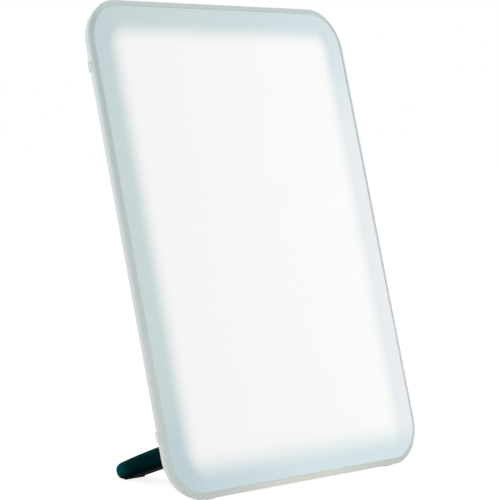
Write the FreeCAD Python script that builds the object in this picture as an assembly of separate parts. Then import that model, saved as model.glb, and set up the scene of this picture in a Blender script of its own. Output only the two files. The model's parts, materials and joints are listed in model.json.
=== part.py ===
"""Light therapy lamp: a slim edge-lit panel that leans back on two low feet and a fold-out leg.

The panel is drawn upright in its own frame: X across, Y from the front face to the back, Z up the
panel from its bottom edge. It is then leaned back and set on the table, which is the plane Z = 0.
Lengths are in millimetres.
"""
import FreeCAD, Part
import math
import os

Vector = FreeCAD.Vector
X_AXIS = Vector(1, 0, 0)
Y_AXIS = Vector(0, 1, 0)
Z_AXIS = Vector(0, 0, 1)

# ---- Driving dimensions ------------------------------------------------------------------------

# Panel
PANEL_WIDTH = 230.0
PANEL_HEIGHT = 300.0
CORNER_RADIUS = 27.0
LEAST_CORNER_RADIUS = 1.0    # of what follows the panel's outline further in
LEAN_DEG = 14.4
SIDE_HEIGHT = 2.25           # front plane to where the side starts to curve in
EDGE_RADIUS = 6.0            # rounded rear edge of the shell
HOUSING_INSET = 14.5         # panel edge to the raised housing on the back
HOUSING_EDGE_RADIUS = 6.0
WALL = 1.8
FIT = 0.05                   # gap between pieces that are fitted together
SLIP = 0.3                   # gap between pieces that are only laid beside each other
PAST = 1.0                   # how far a cutting shape runs past the surface it opens

# Front frame
RIM_WIDTH = 3.4
BEVEL_DEPTH = 1.25
RIM_BACK = 1.6
PARTING_GAP = 0.05
SKIRT_THICKNESS = 1.1
SKIRT_DEPTH = 4.4            # front plane to the skirt's free edge
LEDGE_WIDTH = 4.0
LEDGE_THICKNESS = 1.2

# Diffuser and its adhesive gasket
DIFFUSER_RECESS = 0.15
DIFFUSER_THICKNESS = 2.0
DIFFUSER_GAP = 0.08
GASKET_THICKNESS = 0.3
GASKET_MARGIN = 0.3

# Light engine, from the front to the back
SEAL_WIDTH = 3.0
FILM_FRONT = 4.0
FILM_THICKNESS = 0.2
GUIDE_THICKNESS = 2.5
GUIDE_CORNER_RADIUS = 2.0
REFLECTOR_THICKNESS = 0.2
TRAY_THICKNESS = 0.8
TRAY_SLIP = 0.3
GUIDE_END_GAP = 2.5
STRIP_THICKNESS = 1.0
STRIP_END_GAP = 9.0
LED_LENGTH = 3.0
LED_DEPTH = 2.0
LED_HEIGHT = 0.7
LED_PITCH = 8.0
LED_TO_GUIDE = 0.3

# Fasteners
SCREW_RADIUS = 1.25
SCREW_HEAD_RADIUS = 2.3
SCREW_HEAD_HEIGHT = 1.3
SCREW_CROSS_LENGTH = 2.8     # of each slot of the cross recess
SCREW_CROSS_WIDTH = 0.7
SCREW_CROSS_DEPTH = 0.6
PILOT_GAP = 0.05
HOLE_GAP = 0.2               # round a screw's shank in what it clamps
BOSS_RADIUS = 3.0
SHELL_SCREW_INSET = 9.5
SHELL_SCREW_LENGTH = 4.6
SHELL_SCREW_CORNER_INSET = 45.0   # panel's top or bottom edge to the outer side screws
SHELL_SCREW_END_PITCH = 90.0
TRAY_SCREW_LENGTH = 6.0
TRAY_SCREW_INSET = 3.6       # tray edge to the screw
TRAY_SCREW_SIDE_INSET = 39.0      # panel's side edge to the outer tray screws
BOARD_SCREW_LENGTH = 5.0

# Rubber feet
FOOT_LENGTH = 6.0
FOOT_RADIUS = 5.6
FOOT_THICKNESS = 1.1
FOOT_OFFSET = 1.2            # foot centre from the centre of the shell's rear edge
FOOT_FLAT = 0.2              # worn flat where the foot meets the table
FOOT_START_DEG = -5.0
FOOT_END_DEG = 95.0
BOTTOM_FOOT_INSET = 33.0     # panel's side edge to the foot's middle
SIDE_FOOT_INSET = 40.0       # panel's top or bottom edge to the side foot's middle

# Fold-out leg
LEG_INSET = 55.5             # panel's left edge to the leg's middle
LEG_WIDTH = 24.0
LEG_THICKNESS = 11.8
LEG_LENGTH = 80.6            # hinge axis to tip
LEG_EDGE_RADIUS = 4.0        # rounded edges of its upper side
LEG_UNDER_RADIUS = 5.4       # rounded edges of its underside
LEG_TAPER_START = 30.0       # hinge axis to where its upper side starts to curve down
LEG_TAPER_DROP = 1.9         # how much thinner the leg is at its tip
LEG_TIP_FLAT = 1.3           # how far the tip is cut back to lie flat on the table
LEG_PIVOT_HEIGHT = 34.0      # panel's bottom edge to the hinge axis
LEG_SIDE_GAP = 0.6
LEG_PROUD = 1.4              # folded leg above the back of the housing
PAD_LENGTH = 9.5
PAD_MARGIN = 3.2
PAD_THICKNESS = 2.0
PAD_PROUD = 0.8
PAD_LIFT = 0.3               # leg tip above the table beside its pad
POCKET_FLOOR = 1.3
POCKET_WALL = 1.4
POCKET_TO_TRAY = 0.3
FINGER_RADIUS = 10.0
FINGER_DEPTH = 6.0
PIN_RADIUS = 1.5
PIN_CLEARANCE = 0.05
PIN_BOSS_RADIUS = 4.2
PIN_BOSS_LENGTH = 3.4
PIN_END = 2.2
CLIP_THICKNESS = 0.6
CLIP_GROOVE_DEPTH = 0.4
CLIP_MOUTH = 1.8             # opening that lets the clip slide over the groove
CLIP_TO_BACK = 0.2           # clip's edge to the inside of the back
WASHER_RADIUS = 4.2
WASHER_THICKNESS = 0.4

# Driver board
BOARD_SIDE_INSET = 27.0      # panel's right edge to the board's end
BOARD_BOTTOM = 44.0
BOARD_LENGTH = 116.0
BOARD_HEIGHT = 46.0
BOARD_THICKNESS = 1.6
BOARD_BOSS_HEIGHT = 5.8
BOARD_HOLE_INSET = 4.0
BOARD_INLET_HOLE_INSET = 16.0     # the holes at the inlet's end stand further in

# Parts on the driver board, each offset from the board's left end
CHIP_OFFSET = 34.8
CHIP_LENGTH = 7.0
CHIP_WIDTH = 5.0
CHIP_HEIGHT = 1.5
INDUCTOR_OFFSET = 58.0
INDUCTOR_BASE_WIDTH = 13.0
INDUCTOR_CAP_WIDTH = 12.0
INDUCTOR_PLATE = 1.0         # thickness of its base and its cap
INDUCTOR_COIL_RADIUS = 5.6
INDUCTOR_COIL_HEIGHT = 2.6
CAPACITOR_OFFSET = 78.9
CAPACITOR_PITCH = 13.8
CAPACITOR_RADIUS = 3.1
CAPACITOR_HEIGHT = 5.0
CAPACITOR_EDGE_RADIUS = 0.4
CERAMIC_OFFSET = 41.8
CERAMICS_IN_ROW = 5
CERAMIC_PITCH = 4.4
CERAMIC_ROW_SPACING = 27.6
CERAMIC_LENGTH = 2.0
CERAMIC_WIDTH = 1.25
CERAMIC_HEIGHT = 0.6

# Power inlet
JACK_Z = 64.0
JACK_LENGTH = 13.0
JACK_WIDTH = 9.0
JACK_HEIGHT = 8.4
JACK_NOSE_RADIUS = 3.8
JACK_BORE_RADIUS = 2.9
JACK_BORE_DEPTH = 11.0
JACK_PIN_RADIUS = 1.0
JACK_PIN_LENGTH = 9.5
JACK_PIN_TAIL = 0.5
JACK_TAB = 2.4
JACK_TAB_THICKNESS = 0.4
JACK_NOTCH_DEPTH = 6.0
JACK_NOTCH_WIDTH = 16.0
JACK_NOTCH_FLOOR = 1.0

# Power button
BUTTON_SIDE_INSET = 49.0     # panel's right edge to the button's middle
BUTTON_TOP_INSET = 64.0
BUTTON_RADIUS = 7.0
BUTTON_GAP = 0.35
BUTTON_PROUD = 0.6
BUTTON_TRAVEL = 0.5
BUTTON_FLANGE = 1.2
BUTTON_FLANGE_THICKNESS = 0.8
BUTTON_EDGE_RADIUS = 0.5
SWITCH_BODY = 6.0
SWITCH_BODY_HEIGHT = 3.4
PLUNGER_RADIUS = 1.7
PLUNGER_RISE = 1.4
PLUNGER_DEPTH = 1.0
PLUNGER_GAP = 0.15
BUTTON_DISH_DEPTH = 0.3
SWITCH_BOARD_WIDTH = 32.0
SWITCH_BOARD_HEIGHT = 16.0

# Wiring
WIRE_RADIUS = 0.4
WIRE_SPACING = 1.5
WIRE_BEND = 2.5
LEAD_RUN_GAP = 0.8           # tray screw posts to the run of leads between them and the leg's pocket
LEAD_RISE = 1.2              # board to the middle of a lead where it leaves its plug
LEAD_TAIL = 3.0              # bare end of a switch lead over its board
PLUG_WIDTH = 5.0
PLUG_DEPTH = 5.0
PLUG_RISE = 3.4
LEFT_PLUG_OFFSET = 9.0       # plugs are placed from the board's left end and its bottom or top edge
RIGHT_PLUG_OFFSET = 24.0
LED_PLUG_INSET = 12.0
SWITCH_PLUG_OFFSET = 88.0
SWITCH_PLUG_INSET = 6.0

# ---- Places worked out from them ---------------------------------------------------------------

HALF_WIDTH = PANEL_WIDTH / 2
MID_HEIGHT = PANEL_HEIGHT / 2
EDGE_DEPTH = SIDE_HEIGHT + EDGE_RADIUS
SHELL_FRONT = RIM_BACK + PARTING_GAP
FLANGE_INNER = EDGE_DEPTH - WALL

# The skirt stands clear of the rounded corner inside the shell's rear edge.
SKIRT_INSET = EDGE_RADIUS + SLIP - math.sqrt((EDGE_RADIUS - WALL) ** 2 - (SKIRT_DEPTH - SIDE_HEIGHT) ** 2)
WINDOW_INSET = RIM_WIDTH
LEDGE_FRONT = DIFFUSER_RECESS + DIFFUSER_THICKNESS + GASKET_THICKNESS
LEDGE_BACK = LEDGE_FRONT + LEDGE_THICKNESS
LEDGE_INSET = WINDOW_INSET + LEDGE_WIDTH
DIFFUSER_INSET = WINDOW_INSET + DIFFUSER_GAP
DIFFUSER_BACK = DIFFUSER_RECESS + DIFFUSER_THICKNESS

GUIDE_FRONT = FILM_FRONT + FILM_THICKNESS
GUIDE_BACK = GUIDE_FRONT + GUIDE_THICKNESS
TRAY_FRONT = GUIDE_BACK + REFLECTOR_THICKNESS
TRAY_BACK = TRAY_FRONT + TRAY_THICKNESS
TRAY_INSET = HOUSING_INSET + WALL + TRAY_SLIP
STRIP_INSET = TRAY_INSET + TRAY_THICKNESS + FIT
LED_INSET = STRIP_INSET + STRIP_THICKNESS
GUIDE_SIDE_INSET = LED_INSET + LED_HEIGHT + LED_TO_GUIDE
GUIDE_END_INSET = TRAY_INSET + TRAY_THICKNESS + GUIDE_END_GAP
GUIDE_WIDTH = PANEL_WIDTH - 2 * GUIDE_SIDE_INSET
GUIDE_HEIGHT = PANEL_HEIGHT - 2 * GUIDE_END_INSET
STRIP_LENGTH = GUIDE_HEIGHT - 2 * STRIP_END_GAP

POCKET_BOTTOM = TRAY_BACK + POCKET_TO_TRAY
POCKET_FACE = POCKET_BOTTOM + POCKET_FLOOR
KNUCKLE_RADIUS = LEG_THICKNESS / 2
KNUCKLE_SWEEP = KNUCKLE_RADIUS + SLIP
BACK_DEPTH = POCKET_FACE + SLIP + LEG_THICKNESS - LEG_PROUD
BACK_INNER = BACK_DEPTH - WALL
LEG_X = LEG_INSET - HALF_WIDTH
PIVOT_Y = POCKET_FACE + KNUCKLE_SWEEP
PIVOT_Z = LEG_PIVOT_HEIGHT
POCKET_HALF = LEG_WIDTH / 2 + LEG_SIDE_GAP
HINGE_HALF = POCKET_HALF + POCKET_WALL + PIN_BOSS_LENGTH
TIP_CENTRE = LEG_LENGTH - LEG_WIDTH / 2
CLIP_RADIUS = BACK_INNER - PIVOT_Y - CLIP_TO_BACK

BOARD_LEFT = HALF_WIDTH - BOARD_SIDE_INSET - BOARD_LENGTH
BOARD_TOP = BOARD_BOTTOM + BOARD_HEIGHT
BOARD_MIDDLE = BOARD_BOTTOM + BOARD_HEIGHT / 2
BOARD_BACK = BACK_INNER - BOARD_BOSS_HEIGHT
BOARD_FRONT = BOARD_BACK - BOARD_THICKNESS

BUTTON_X = HALF_WIDTH - BUTTON_SIDE_INSET
BUTTON_Z = PANEL_HEIGHT - BUTTON_TOP_INSET
BUTTON_FLANGE_BACK = BACK_INNER - FIT
BUTTON_FLANGE_FRONT = BUTTON_FLANGE_BACK - BUTTON_FLANGE_THICKNESS
SWITCH_BODY_BACK = BUTTON_FLANGE_FRONT - PLUNGER_RISE
SWITCH_BOARD_BACK = SWITCH_BODY_BACK - SWITCH_BODY_HEIGHT
SWITCH_BOARD_FRONT = SWITCH_BOARD_BACK - BOARD_THICKNESS

JACK_FACE_X = HALF_WIDTH - HOUSING_INSET - JACK_NOTCH_DEPTH
JACK_X1 = JACK_FACE_X - WALL - FIT
JACK_X0 = JACK_X1 - JACK_LENGTH
JACK_Y1 = BACK_INNER - FIT
JACK_Y0 = JACK_Y1 - JACK_HEIGHT
JACK_Y = (JACK_Y0 + JACK_Y1) / 2

LEAD_X = HALF_WIDTH - LED_INSET - LED_HEIGHT / 2 - LED_TO_GUIDE / 2
LEAD_Y = BOARD_BACK + LEAD_RISE
LEAD_SLOT = WIRE_RADIUS + SLIP
LEAD_RUN_Z = TRAY_INSET + TRAY_SCREW_INSET + BOSS_RADIUS + LEAD_RUN_GAP
LED_PLUG_Z = BOARD_BOTTOM + LED_PLUG_INSET
SWITCH_PLUG_Z = BOARD_TOP - SWITCH_PLUG_INSET

LEAN = math.radians(LEAN_DEG)


def height_when_leaned(y, z):
    """Height of a point of the upright panel after it leans back about its bottom front edge."""
    return z * math.cos(LEAN) - y * math.sin(LEAN)


FOOT_SHIFT = FOOT_OFFSET * math.sqrt(0.5)
FOOT_INSET = EDGE_RADIUS - FOOT_SHIFT
FOOT_Y = SIDE_HEIGHT + FOOT_SHIFT
TABLE_DROP = height_when_leaned(FOOT_Y, FOOT_INSET) - FOOT_RADIUS + FOOT_FLAT
PIVOT_RISE = height_when_leaned(PIVOT_Y, PIVOT_Z) - TABLE_DROP


# The leg's edges are rounded as far as its thickness at the tip lets them be.
LEG_TIP_THICKNESS = LEG_THICKNESS - LEG_TAPER_DROP
UPPER_ROUNDING = min(LEG_EDGE_RADIUS, 0.42 * LEG_TIP_THICKNESS)
UNDER_ROUNDING = min(LEG_UNDER_RADIUS, 0.56 * LEG_TIP_THICKNESS)


def leg_slope():
    """Angle of the open leg below horizontal that brings its rounded tip down to the table."""
    along = LEG_LENGTH - UNDER_ROUNDING
    across = LEG_THICKNESS / 2 - UNDER_ROUNDING
    reach = math.hypot(along, across)
    rise = PIVOT_RISE + LEG_TIP_FLAT - UNDER_ROUNDING
    return math.asin(rise / reach) - math.atan2(across, along)


LEG_SLOPE = leg_slope()
LEG_PAST_SQUARE = LEG_SLOPE - LEAN


# ---- Shared shapes -----------------------------------------------------------------------------

def box(x0, x1, y0, y1, z0, z1):
    return Part.makeBox(x1 - x0, y1 - y0, z1 - z0, Vector(x0, y0, z0))


def rod_x(y, z, radius, x0, x1):
    return Part.makeCylinder(radius, x1 - x0, Vector(x0, y, z), X_AXIS)


def rod_y(x, z, radius, y0, y1):
    return Part.makeCylinder(radius, y1 - y0, Vector(x, y0, z), Y_AXIS)


def rounded_wire(x_mid, z_mid, width, height, radius, y):
    """Closed outline of a rectangle with round corners, standing across the panel at depth y."""
    dx = width / 2 - radius
    dz = height / 2 - radius
    corners = ((dx, dz, 0), (-dx, dz, 90), (-dx, -dz, 180), (dx, -dz, 270))
    arcs = []
    for cx, cz, start in corners:
        centre = Vector(x_mid + cx, y, z_mid + cz)
        points = []
        for turn in (0, 45, 90):
            angle = math.radians(start + turn)
            points.append(centre + Vector(radius * math.cos(angle), 0, radius * math.sin(angle)))
        arcs.append(points)
    edges = []
    for index, points in enumerate(arcs):
        following = arcs[(index + 1) % 4]
        edges.append(Part.Arc(*points).toShape())
        edges.append(Part.makeLine(points[2], following[0]))
    return Part.Wire(edges)


def rounded_slab(x_mid, z_mid, width, height, radius, y0, y1):
    face = Part.Face(rounded_wire(x_mid, z_mid, width, height, radius, y0))
    return face.extrude(Vector(0, y1 - y0, 0))


def panel_outline(inset, y):
    radius = max(CORNER_RADIUS - inset, LEAST_CORNER_RADIUS)
    width = PANEL_WIDTH - 2 * inset
    height = PANEL_HEIGHT - 2 * inset
    return rounded_wire(0, MID_HEIGHT, width, height, radius, y)


def panel_slab(inset, y0, y1):
    return Part.Face(panel_outline(inset, y0)).extrude(Vector(0, y1 - y0, 0))


def panel_ring(outer_inset, inner_inset, y0, y1):
    return panel_slab(outer_inset, y0, y1).cut(panel_slab(inner_inset, y0 - PAST, y1 + PAST))


def edges_at_depth(shape, y):
    """Edges that lie wholly in the plane at depth y."""
    return [edge for edge in shape.Edges
            if abs(edge.BoundBox.YMin - y) < 1e-4 and abs(edge.BoundBox.YMax - y) < 1e-4]


def rounded_back_slab(inset, y0, y1, radius):
    """Slab of the panel's outline whose rear edge is rounded all round."""
    slab = panel_slab(inset, y0, y1)
    return slab.makeFillet(radius, edges_at_depth(slab, y1))


def fuse_all(shapes):
    result = shapes[0].multiFuse(shapes[1:]) if len(shapes) > 1 else shapes[0]
    return result.removeSplitter()


def cut_all(shape, tools):
    for tool in tools:
        shape = shape.cut(tool)
    return shape


def screw(x, z, y_head, length, direction, countersunk=False):
    """Screw along Y whose head's outer face is at y_head; direction is the way it is driven."""
    axis = Vector(0, direction, 0)
    top = Vector(x, y_head, z)
    under = top + axis * SCREW_HEAD_HEIGHT
    if countersunk:
        head = Part.makeCone(SCREW_HEAD_RADIUS, SCREW_RADIUS, SCREW_HEAD_HEIGHT, top, axis)
    else:
        head = Part.makeCylinder(SCREW_HEAD_RADIUS, SCREW_HEAD_HEIGHT, top, axis)
    shank = Part.makeCylinder(SCREW_RADIUS, length - SCREW_HEAD_HEIGHT, under, axis)
    whole = head.fuse(shank).removeSplitter()
    long = SCREW_CROSS_LENGTH / 2
    short = SCREW_CROSS_WIDTH / 2
    near, far = sorted((y_head - direction * PAST, y_head + direction * SCREW_CROSS_DEPTH))
    for across, along in ((long, short), (short, long)):
        whole = whole.cut(box(x - across, x + across, near, far, z - along, z + along))
    return whole


def shell_screw_places():
    side_x = HALF_WIDTH - SHELL_SCREW_INSET
    heights = (SHELL_SCREW_CORNER_INSET, MID_HEIGHT, PANEL_HEIGHT - SHELL_SCREW_CORNER_INSET)
    places = [(x, z) for x in (-side_x, side_x) for z in heights]
    ends = (SHELL_SCREW_INSET, PANEL_HEIGHT - SHELL_SCREW_INSET)
    half_pitch = SHELL_SCREW_END_PITCH / 2
    return places + [(x, z) for z in ends for x in (-half_pitch, half_pitch)]


def tray_screw_places():
    inset = TRAY_INSET + TRAY_SCREW_INSET
    side_x = HALF_WIDTH - TRAY_SCREW_SIDE_INSET
    return [(x, z) for z in (inset, PANEL_HEIGHT - inset) for x in (-side_x, 0, side_x)]


# ---- Front: frame, diffuser, gasket ------------------------------------------------------------

def front_frame():
    bevel = Part.makeLoft([panel_outline(RIM_WIDTH, 0), panel_outline(0, BEVEL_DEPTH)], True, True)
    land = panel_slab(0, BEVEL_DEPTH, RIM_BACK)
    inner = panel_slab(SKIRT_INSET, RIM_BACK, LEDGE_BACK)
    skirt = panel_ring(SKIRT_INSET, SKIRT_INSET + SKIRT_THICKNESS, LEDGE_BACK, SKIRT_DEPTH)
    body = fuse_all([bevel, land, inner, skirt])
    body = body.cut(panel_slab(WINDOW_INSET, -PAST, LEDGE_FRONT))
    body = body.cut(panel_slab(LEDGE_INSET, LEDGE_FRONT - PAST, LEDGE_BACK + PAST))
    boss_back = FLANGE_INNER - SLIP
    bosses = [rod_y(x, z, BOSS_RADIUS, LEDGE_FRONT, boss_back) for x, z in shell_screw_places()]
    body = fuse_all([body] + bosses)
    pilot_front = EDGE_DEPTH - SHELL_SCREW_LENGTH - SLIP
    pilots = [rod_y(x, z, SCREW_RADIUS + PILOT_GAP, pilot_front, boss_back + PAST)
              for x, z in shell_screw_places()]
    return cut_all(body, pilots)


def diffuser_panel():
    return panel_slab(DIFFUSER_INSET, DIFFUSER_RECESS, DIFFUSER_BACK)


def diffuser_gasket():
    return panel_ring(WINDOW_INSET + GASKET_MARGIN, LEDGE_INSET - GASKET_MARGIN, DIFFUSER_BACK, LEDGE_FRONT)


# ---- Light engine ------------------------------------------------------------------------------

def light_seal():
    inner = max(GUIDE_SIDE_INSET, GUIDE_END_INSET) + SEAL_WIDTH / 2
    return panel_ring(inner - SEAL_WIDTH, inner, DIFFUSER_BACK, FILM_FRONT)


def guide_sheet(y0, y1, margin=0.0):
    """Sheet of the light guide's outline, notched round the tray's screws."""
    width = GUIDE_WIDTH - 2 * margin
    height = GUIDE_HEIGHT - 2 * margin
    sheet = rounded_slab(0, MID_HEIGHT, width, height, GUIDE_CORNER_RADIUS, y0, y1)
    notch = SCREW_HEAD_RADIUS + SLIP
    return cut_all(sheet, [rod_y(x, z, notch, y0 - PAST, y1 + PAST) for x, z in tray_screw_places()])


def screw_holes(places, y0, y1):
    """Clearance holes for screws through a sheet that lies from depth y0 to y1."""
    return [rod_y(x, z, SCREW_RADIUS + HOLE_GAP, y0 - PAST, y1 + PAST) for x, z in places]


def light_tray():
    floor = panel_slab(TRAY_INSET, TRAY_FRONT, TRAY_BACK)
    wall = panel_ring(TRAY_INSET, TRAY_INSET + TRAY_THICKNESS, GUIDE_FRONT, TRAY_FRONT)
    tray = fuse_all([floor, wall])
    slots = [box(x - LEAD_SLOT, x + LEAD_SLOT, TRAY_FRONT - PAST, TRAY_BACK + PAST,
                 LEAD_RUN_Z - LEAD_SLOT, LEAD_RUN_Z + WIRE_SPACING + LEAD_SLOT)
             for x in (-LEAD_X, LEAD_X)]
    return cut_all(tray, screw_holes(tray_screw_places(), TRAY_FRONT, TRAY_BACK) + slots)


def led_strips():
    strips = []
    for side in (-1, 1):
        outer = side * (HALF_WIDTH - STRIP_INSET)
        inner = outer - side * STRIP_THICKNESS
        x0, x1 = sorted((outer, inner))
        z0 = MID_HEIGHT - STRIP_LENGTH / 2
        strips.append(box(x0, x1, FILM_FRONT, TRAY_FRONT - FIT, z0, z0 + STRIP_LENGTH))
    return strips


def led_packages():
    count = int((STRIP_LENGTH - LED_PITCH) / LED_PITCH)
    first = MID_HEIGHT - (count - 1) * LED_PITCH / 2
    y_mid = (GUIDE_FRONT + GUIDE_BACK) / 2
    packages = []
    for side in (-1, 1):
        base = side * (HALF_WIDTH - LED_INSET)
        x0, x1 = sorted((base, base - side * LED_HEIGHT))
        for index in range(count):
            z = first + index * LED_PITCH
            packages.append(box(x0, x1, y_mid - LED_DEPTH / 2, y_mid + LED_DEPTH / 2,
                                z - LED_LENGTH / 2, z + LED_LENGTH / 2))
    return packages


def tray_screws():
    y_head = TRAY_FRONT - SCREW_HEAD_HEIGHT
    return [screw(x, z, y_head, TRAY_SCREW_LENGTH, 1) for x, z in tray_screw_places()]


# ---- Rear shell --------------------------------------------------------------------------------

def shell_envelope(inset, front):
    """Solid outer form of the shell, or of its cavity when inset is the wall."""
    flange = rounded_back_slab(inset, front, EDGE_DEPTH - inset, EDGE_RADIUS - inset)
    housing = rounded_back_slab(HOUSING_INSET + inset, front, BACK_DEPTH - inset,
                                HOUSING_EDGE_RADIUS - inset)
    return fuse_all([flange, housing])


def leg_plan(half_width, y0, y1):
    """Outline of the folded leg seen from behind, straight from the hinge axis to a round tip."""
    straight = box(LEG_X - half_width, LEG_X + half_width, y0, y1, PIVOT_Z, PIVOT_Z + TIP_CENTRE)
    return straight.fuse(rod_y(LEG_X, PIVOT_Z + TIP_CENTRE, half_width, y0, y1))


def hinge_gap(half_width, radius, y_far):
    """Room round the hinge that the leg sweeps from folded to open, closed by the stop below it."""
    down = Vector(0, -math.sin(LEG_PAST_SQUARE), -math.cos(LEG_PAST_SQUARE))
    out = Vector(0, math.cos(LEG_PAST_SQUARE), -math.sin(LEG_PAST_SQUARE))
    pivot = Vector(LEG_X - half_width, PIVOT_Y, PIVOT_Z)
    under = pivot + down * radius
    far = under + out * ((y_far - under.y) / out.y)
    corners = [pivot, under, far, Vector(pivot.x, y_far, PIVOT_Z)]
    face = Part.Face(Part.makePolygon(corners + [corners[0]]))
    wedge = face.extrude(X_AXIS * (2 * half_width))
    return wedge.fuse(rod_x(PIVOT_Y, PIVOT_Z, radius, pivot.x, pivot.x + 2 * half_width))


def leg_pocket():
    y_far = BACK_DEPTH + PAST
    recess = leg_plan(POCKET_HALF, POCKET_FACE, y_far)
    finger = rod_y(LEG_X, PIVOT_Z + LEG_LENGTH, FINGER_RADIUS, BACK_DEPTH - FINGER_DEPTH, y_far)
    return fuse_all([recess, hinge_gap(POCKET_HALF, KNUCKLE_SWEEP, y_far), finger])


def leg_tub():
    """Walls round the pocket, inside the housing."""
    back = BACK_INNER + WALL / 2
    half = POCKET_HALF + POCKET_WALL
    body = leg_plan(half, POCKET_BOTTOM, back)
    lower = box(LEG_X - half, LEG_X + half, POCKET_BOTTOM, back,
                PIVOT_Z - KNUCKLE_SWEEP - POCKET_WALL, PIVOT_Z)
    finger = rod_y(LEG_X, PIVOT_Z + LEG_LENGTH, FINGER_RADIUS + POCKET_WALL,
                   BACK_DEPTH - FINGER_DEPTH - POCKET_WALL, back)
    bosses = rod_x(PIVOT_Y, PIVOT_Z, PIN_BOSS_RADIUS, LEG_X - HINGE_HALF, LEG_X + HINGE_HALF)
    return fuse_all([body, lower, finger, bosses])


def board_screw_places():
    left = BOARD_LEFT + BOARD_HOLE_INSET
    right = BOARD_LEFT + BOARD_LENGTH - BOARD_INLET_HOLE_INSET
    low = BOARD_BOTTOM + BOARD_HOLE_INSET
    high = BOARD_TOP - BOARD_HOLE_INSET
    return ((left, low), (right, low), (left, high), (right, high))


def switch_screw_places():
    reach = SWITCH_BOARD_WIDTH / 2 - BOARD_HOLE_INSET
    return ((BUTTON_X - reach, BUTTON_Z), (BUTTON_X + reach, BUTTON_Z))


def foot_sector(grow):
    """Arched pad round the bottom rear edge, centred on X = 0; grow makes the groove it sits in."""
    start = math.radians(FOOT_START_DEG) - grow / FOOT_RADIUS
    end = math.radians(FOOT_END_DEG) + grow / FOOT_RADIUS
    middle = (start + end) / 2
    inner_radius = FOOT_RADIUS - FOOT_THICKNESS - grow
    outer_radius = FOOT_RADIUS + (PAST if grow else 0)
    length = FOOT_LENGTH + 2 * grow

    def at(radius, angle):
        return Vector(-length / 2, FOOT_Y + radius * math.sin(angle), FOOT_INSET - radius * math.cos(angle))

    outer = Part.Arc(at(outer_radius, start), at(outer_radius, middle), at(outer_radius, end)).toShape()
    inner = Part.Arc(at(inner_radius, end), at(inner_radius, middle), at(inner_radius, start)).toShape()
    rear_end = Part.makeLine(at(outer_radius, end), at(inner_radius, end))
    front_end = Part.makeLine(at(inner_radius, start), at(outer_radius, start))
    return Part.Face(Part.Wire([outer, rear_end, inner, front_end])).extrude(X_AXIS * length)


def bottom_feet(grow=0.0):
    reach = HALF_WIDTH - BOTTOM_FOOT_INSET
    return [foot_sector(grow).translated(Vector(x, 0, 0)) for x in (-reach, reach)]


def side_feet(grow=0.0):
    """The same feet on the left edge, for standing the lamp on its side."""
    feet = []
    for z in (SIDE_FOOT_INSET, PANEL_HEIGHT - SIDE_FOOT_INSET):
        foot = foot_sector(grow)
        foot.rotate(Vector(0, 0, 0), Y_AXIS, 90)
        foot.translate(Vector(-HALF_WIDTH, 0, z))
        feet.append(foot)
    return feet


def jack_notch():
    """Notch in the edge of the housing that a plug lies in."""
    half = JACK_NOTCH_WIDTH / 2
    return box(JACK_FACE_X, HALF_WIDTH - HOUSING_INSET + PAST, POCKET_BOTTOM + JACK_NOTCH_FLOOR,
               BACK_DEPTH + PAST, JACK_Z - half, JACK_Z + half)


def jack_notch_walls():
    half = JACK_NOTCH_WIDTH / 2 + WALL
    return box(JACK_FACE_X - WALL, HALF_WIDTH - HOUSING_INSET, POCKET_BOTTOM, BACK_DEPTH,
               JACK_Z - half, JACK_Z + half)


def lead_channel():
    """Room for the strips' leads where they run across, through any wall that reaches into their way."""
    return box(-LEAD_X, LEAD_X, LEAD_Y - LEAD_SLOT, LEAD_Y + LEAD_SLOT,
               LEAD_RUN_Z - LEAD_SLOT, LEAD_RUN_Z + WIRE_SPACING + LEAD_SLOT)


def shell_posts():
    """Posts for the tray's and the boards' screws, each as (x, z, front end, end of its pilot)."""
    posts = []
    for places, seat, clamped_front, length in (
            (tray_screw_places(), TRAY_BACK, TRAY_FRONT, TRAY_SCREW_LENGTH),
            (board_screw_places(), BOARD_BACK, BOARD_FRONT, BOARD_SCREW_LENGTH),
            (switch_screw_places(), SWITCH_BOARD_BACK, SWITCH_BOARD_FRONT, BOARD_SCREW_LENGTH)):
        pilot_end = clamped_front - SCREW_HEAD_HEIGHT + length + SLIP
        posts += [(x, z, seat, pilot_end) for x, z in places]
    return posts


def rear_shell():
    outside = shell_envelope(0.0, SHELL_FRONT)
    shell = outside.cut(shell_envelope(WALL, SHELL_FRONT - PAST))
    posts = shell_posts()
    additions = [leg_tub(), jack_notch_walls()]
    additions += [rod_y(x, z, BOSS_RADIUS, seat, BACK_INNER + WALL / 2) for x, z, seat, _ in posts]
    shell = fuse_all([shell] + [piece.common(outside) for piece in additions])

    cuts = [leg_pocket(), jack_notch(), lead_channel()]
    pin_reach = HINGE_HALF + PAST
    cuts.append(rod_x(PIVOT_Y, PIVOT_Z, PIN_RADIUS + PIN_CLEARANCE, LEG_X - pin_reach, LEG_X + pin_reach))
    cuts.append(rod_x(JACK_Y, JACK_Z, JACK_NOSE_RADIUS + FIT, JACK_X1 - PAST, JACK_FACE_X + PAST))
    cuts.append(rod_y(BUTTON_X, BUTTON_Z, BUTTON_RADIUS + BUTTON_GAP, BACK_INNER - PAST, BACK_DEPTH + PAST))
    cuts += [rod_y(x, z, SCREW_RADIUS + PILOT_GAP, seat - PAST, pilot_end) for x, z, seat, pilot_end in posts]
    cuts += screw_holes(shell_screw_places(), FLANGE_INNER, EDGE_DEPTH)
    cuts += [Part.makeCone(SCREW_HEAD_RADIUS + FIT, SCREW_RADIUS + FIT, SCREW_HEAD_HEIGHT,
                           Vector(x, EDGE_DEPTH, z), -Y_AXIS) for x, z in shell_screw_places()]
    cuts += bottom_feet(FIT) + side_feet(FIT)
    return cut_all(shell, cuts)


def shell_screws():
    return [screw(x, z, EDGE_DEPTH, SHELL_SCREW_LENGTH, -1, countersunk=True)
            for x, z in shell_screw_places()]


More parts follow.
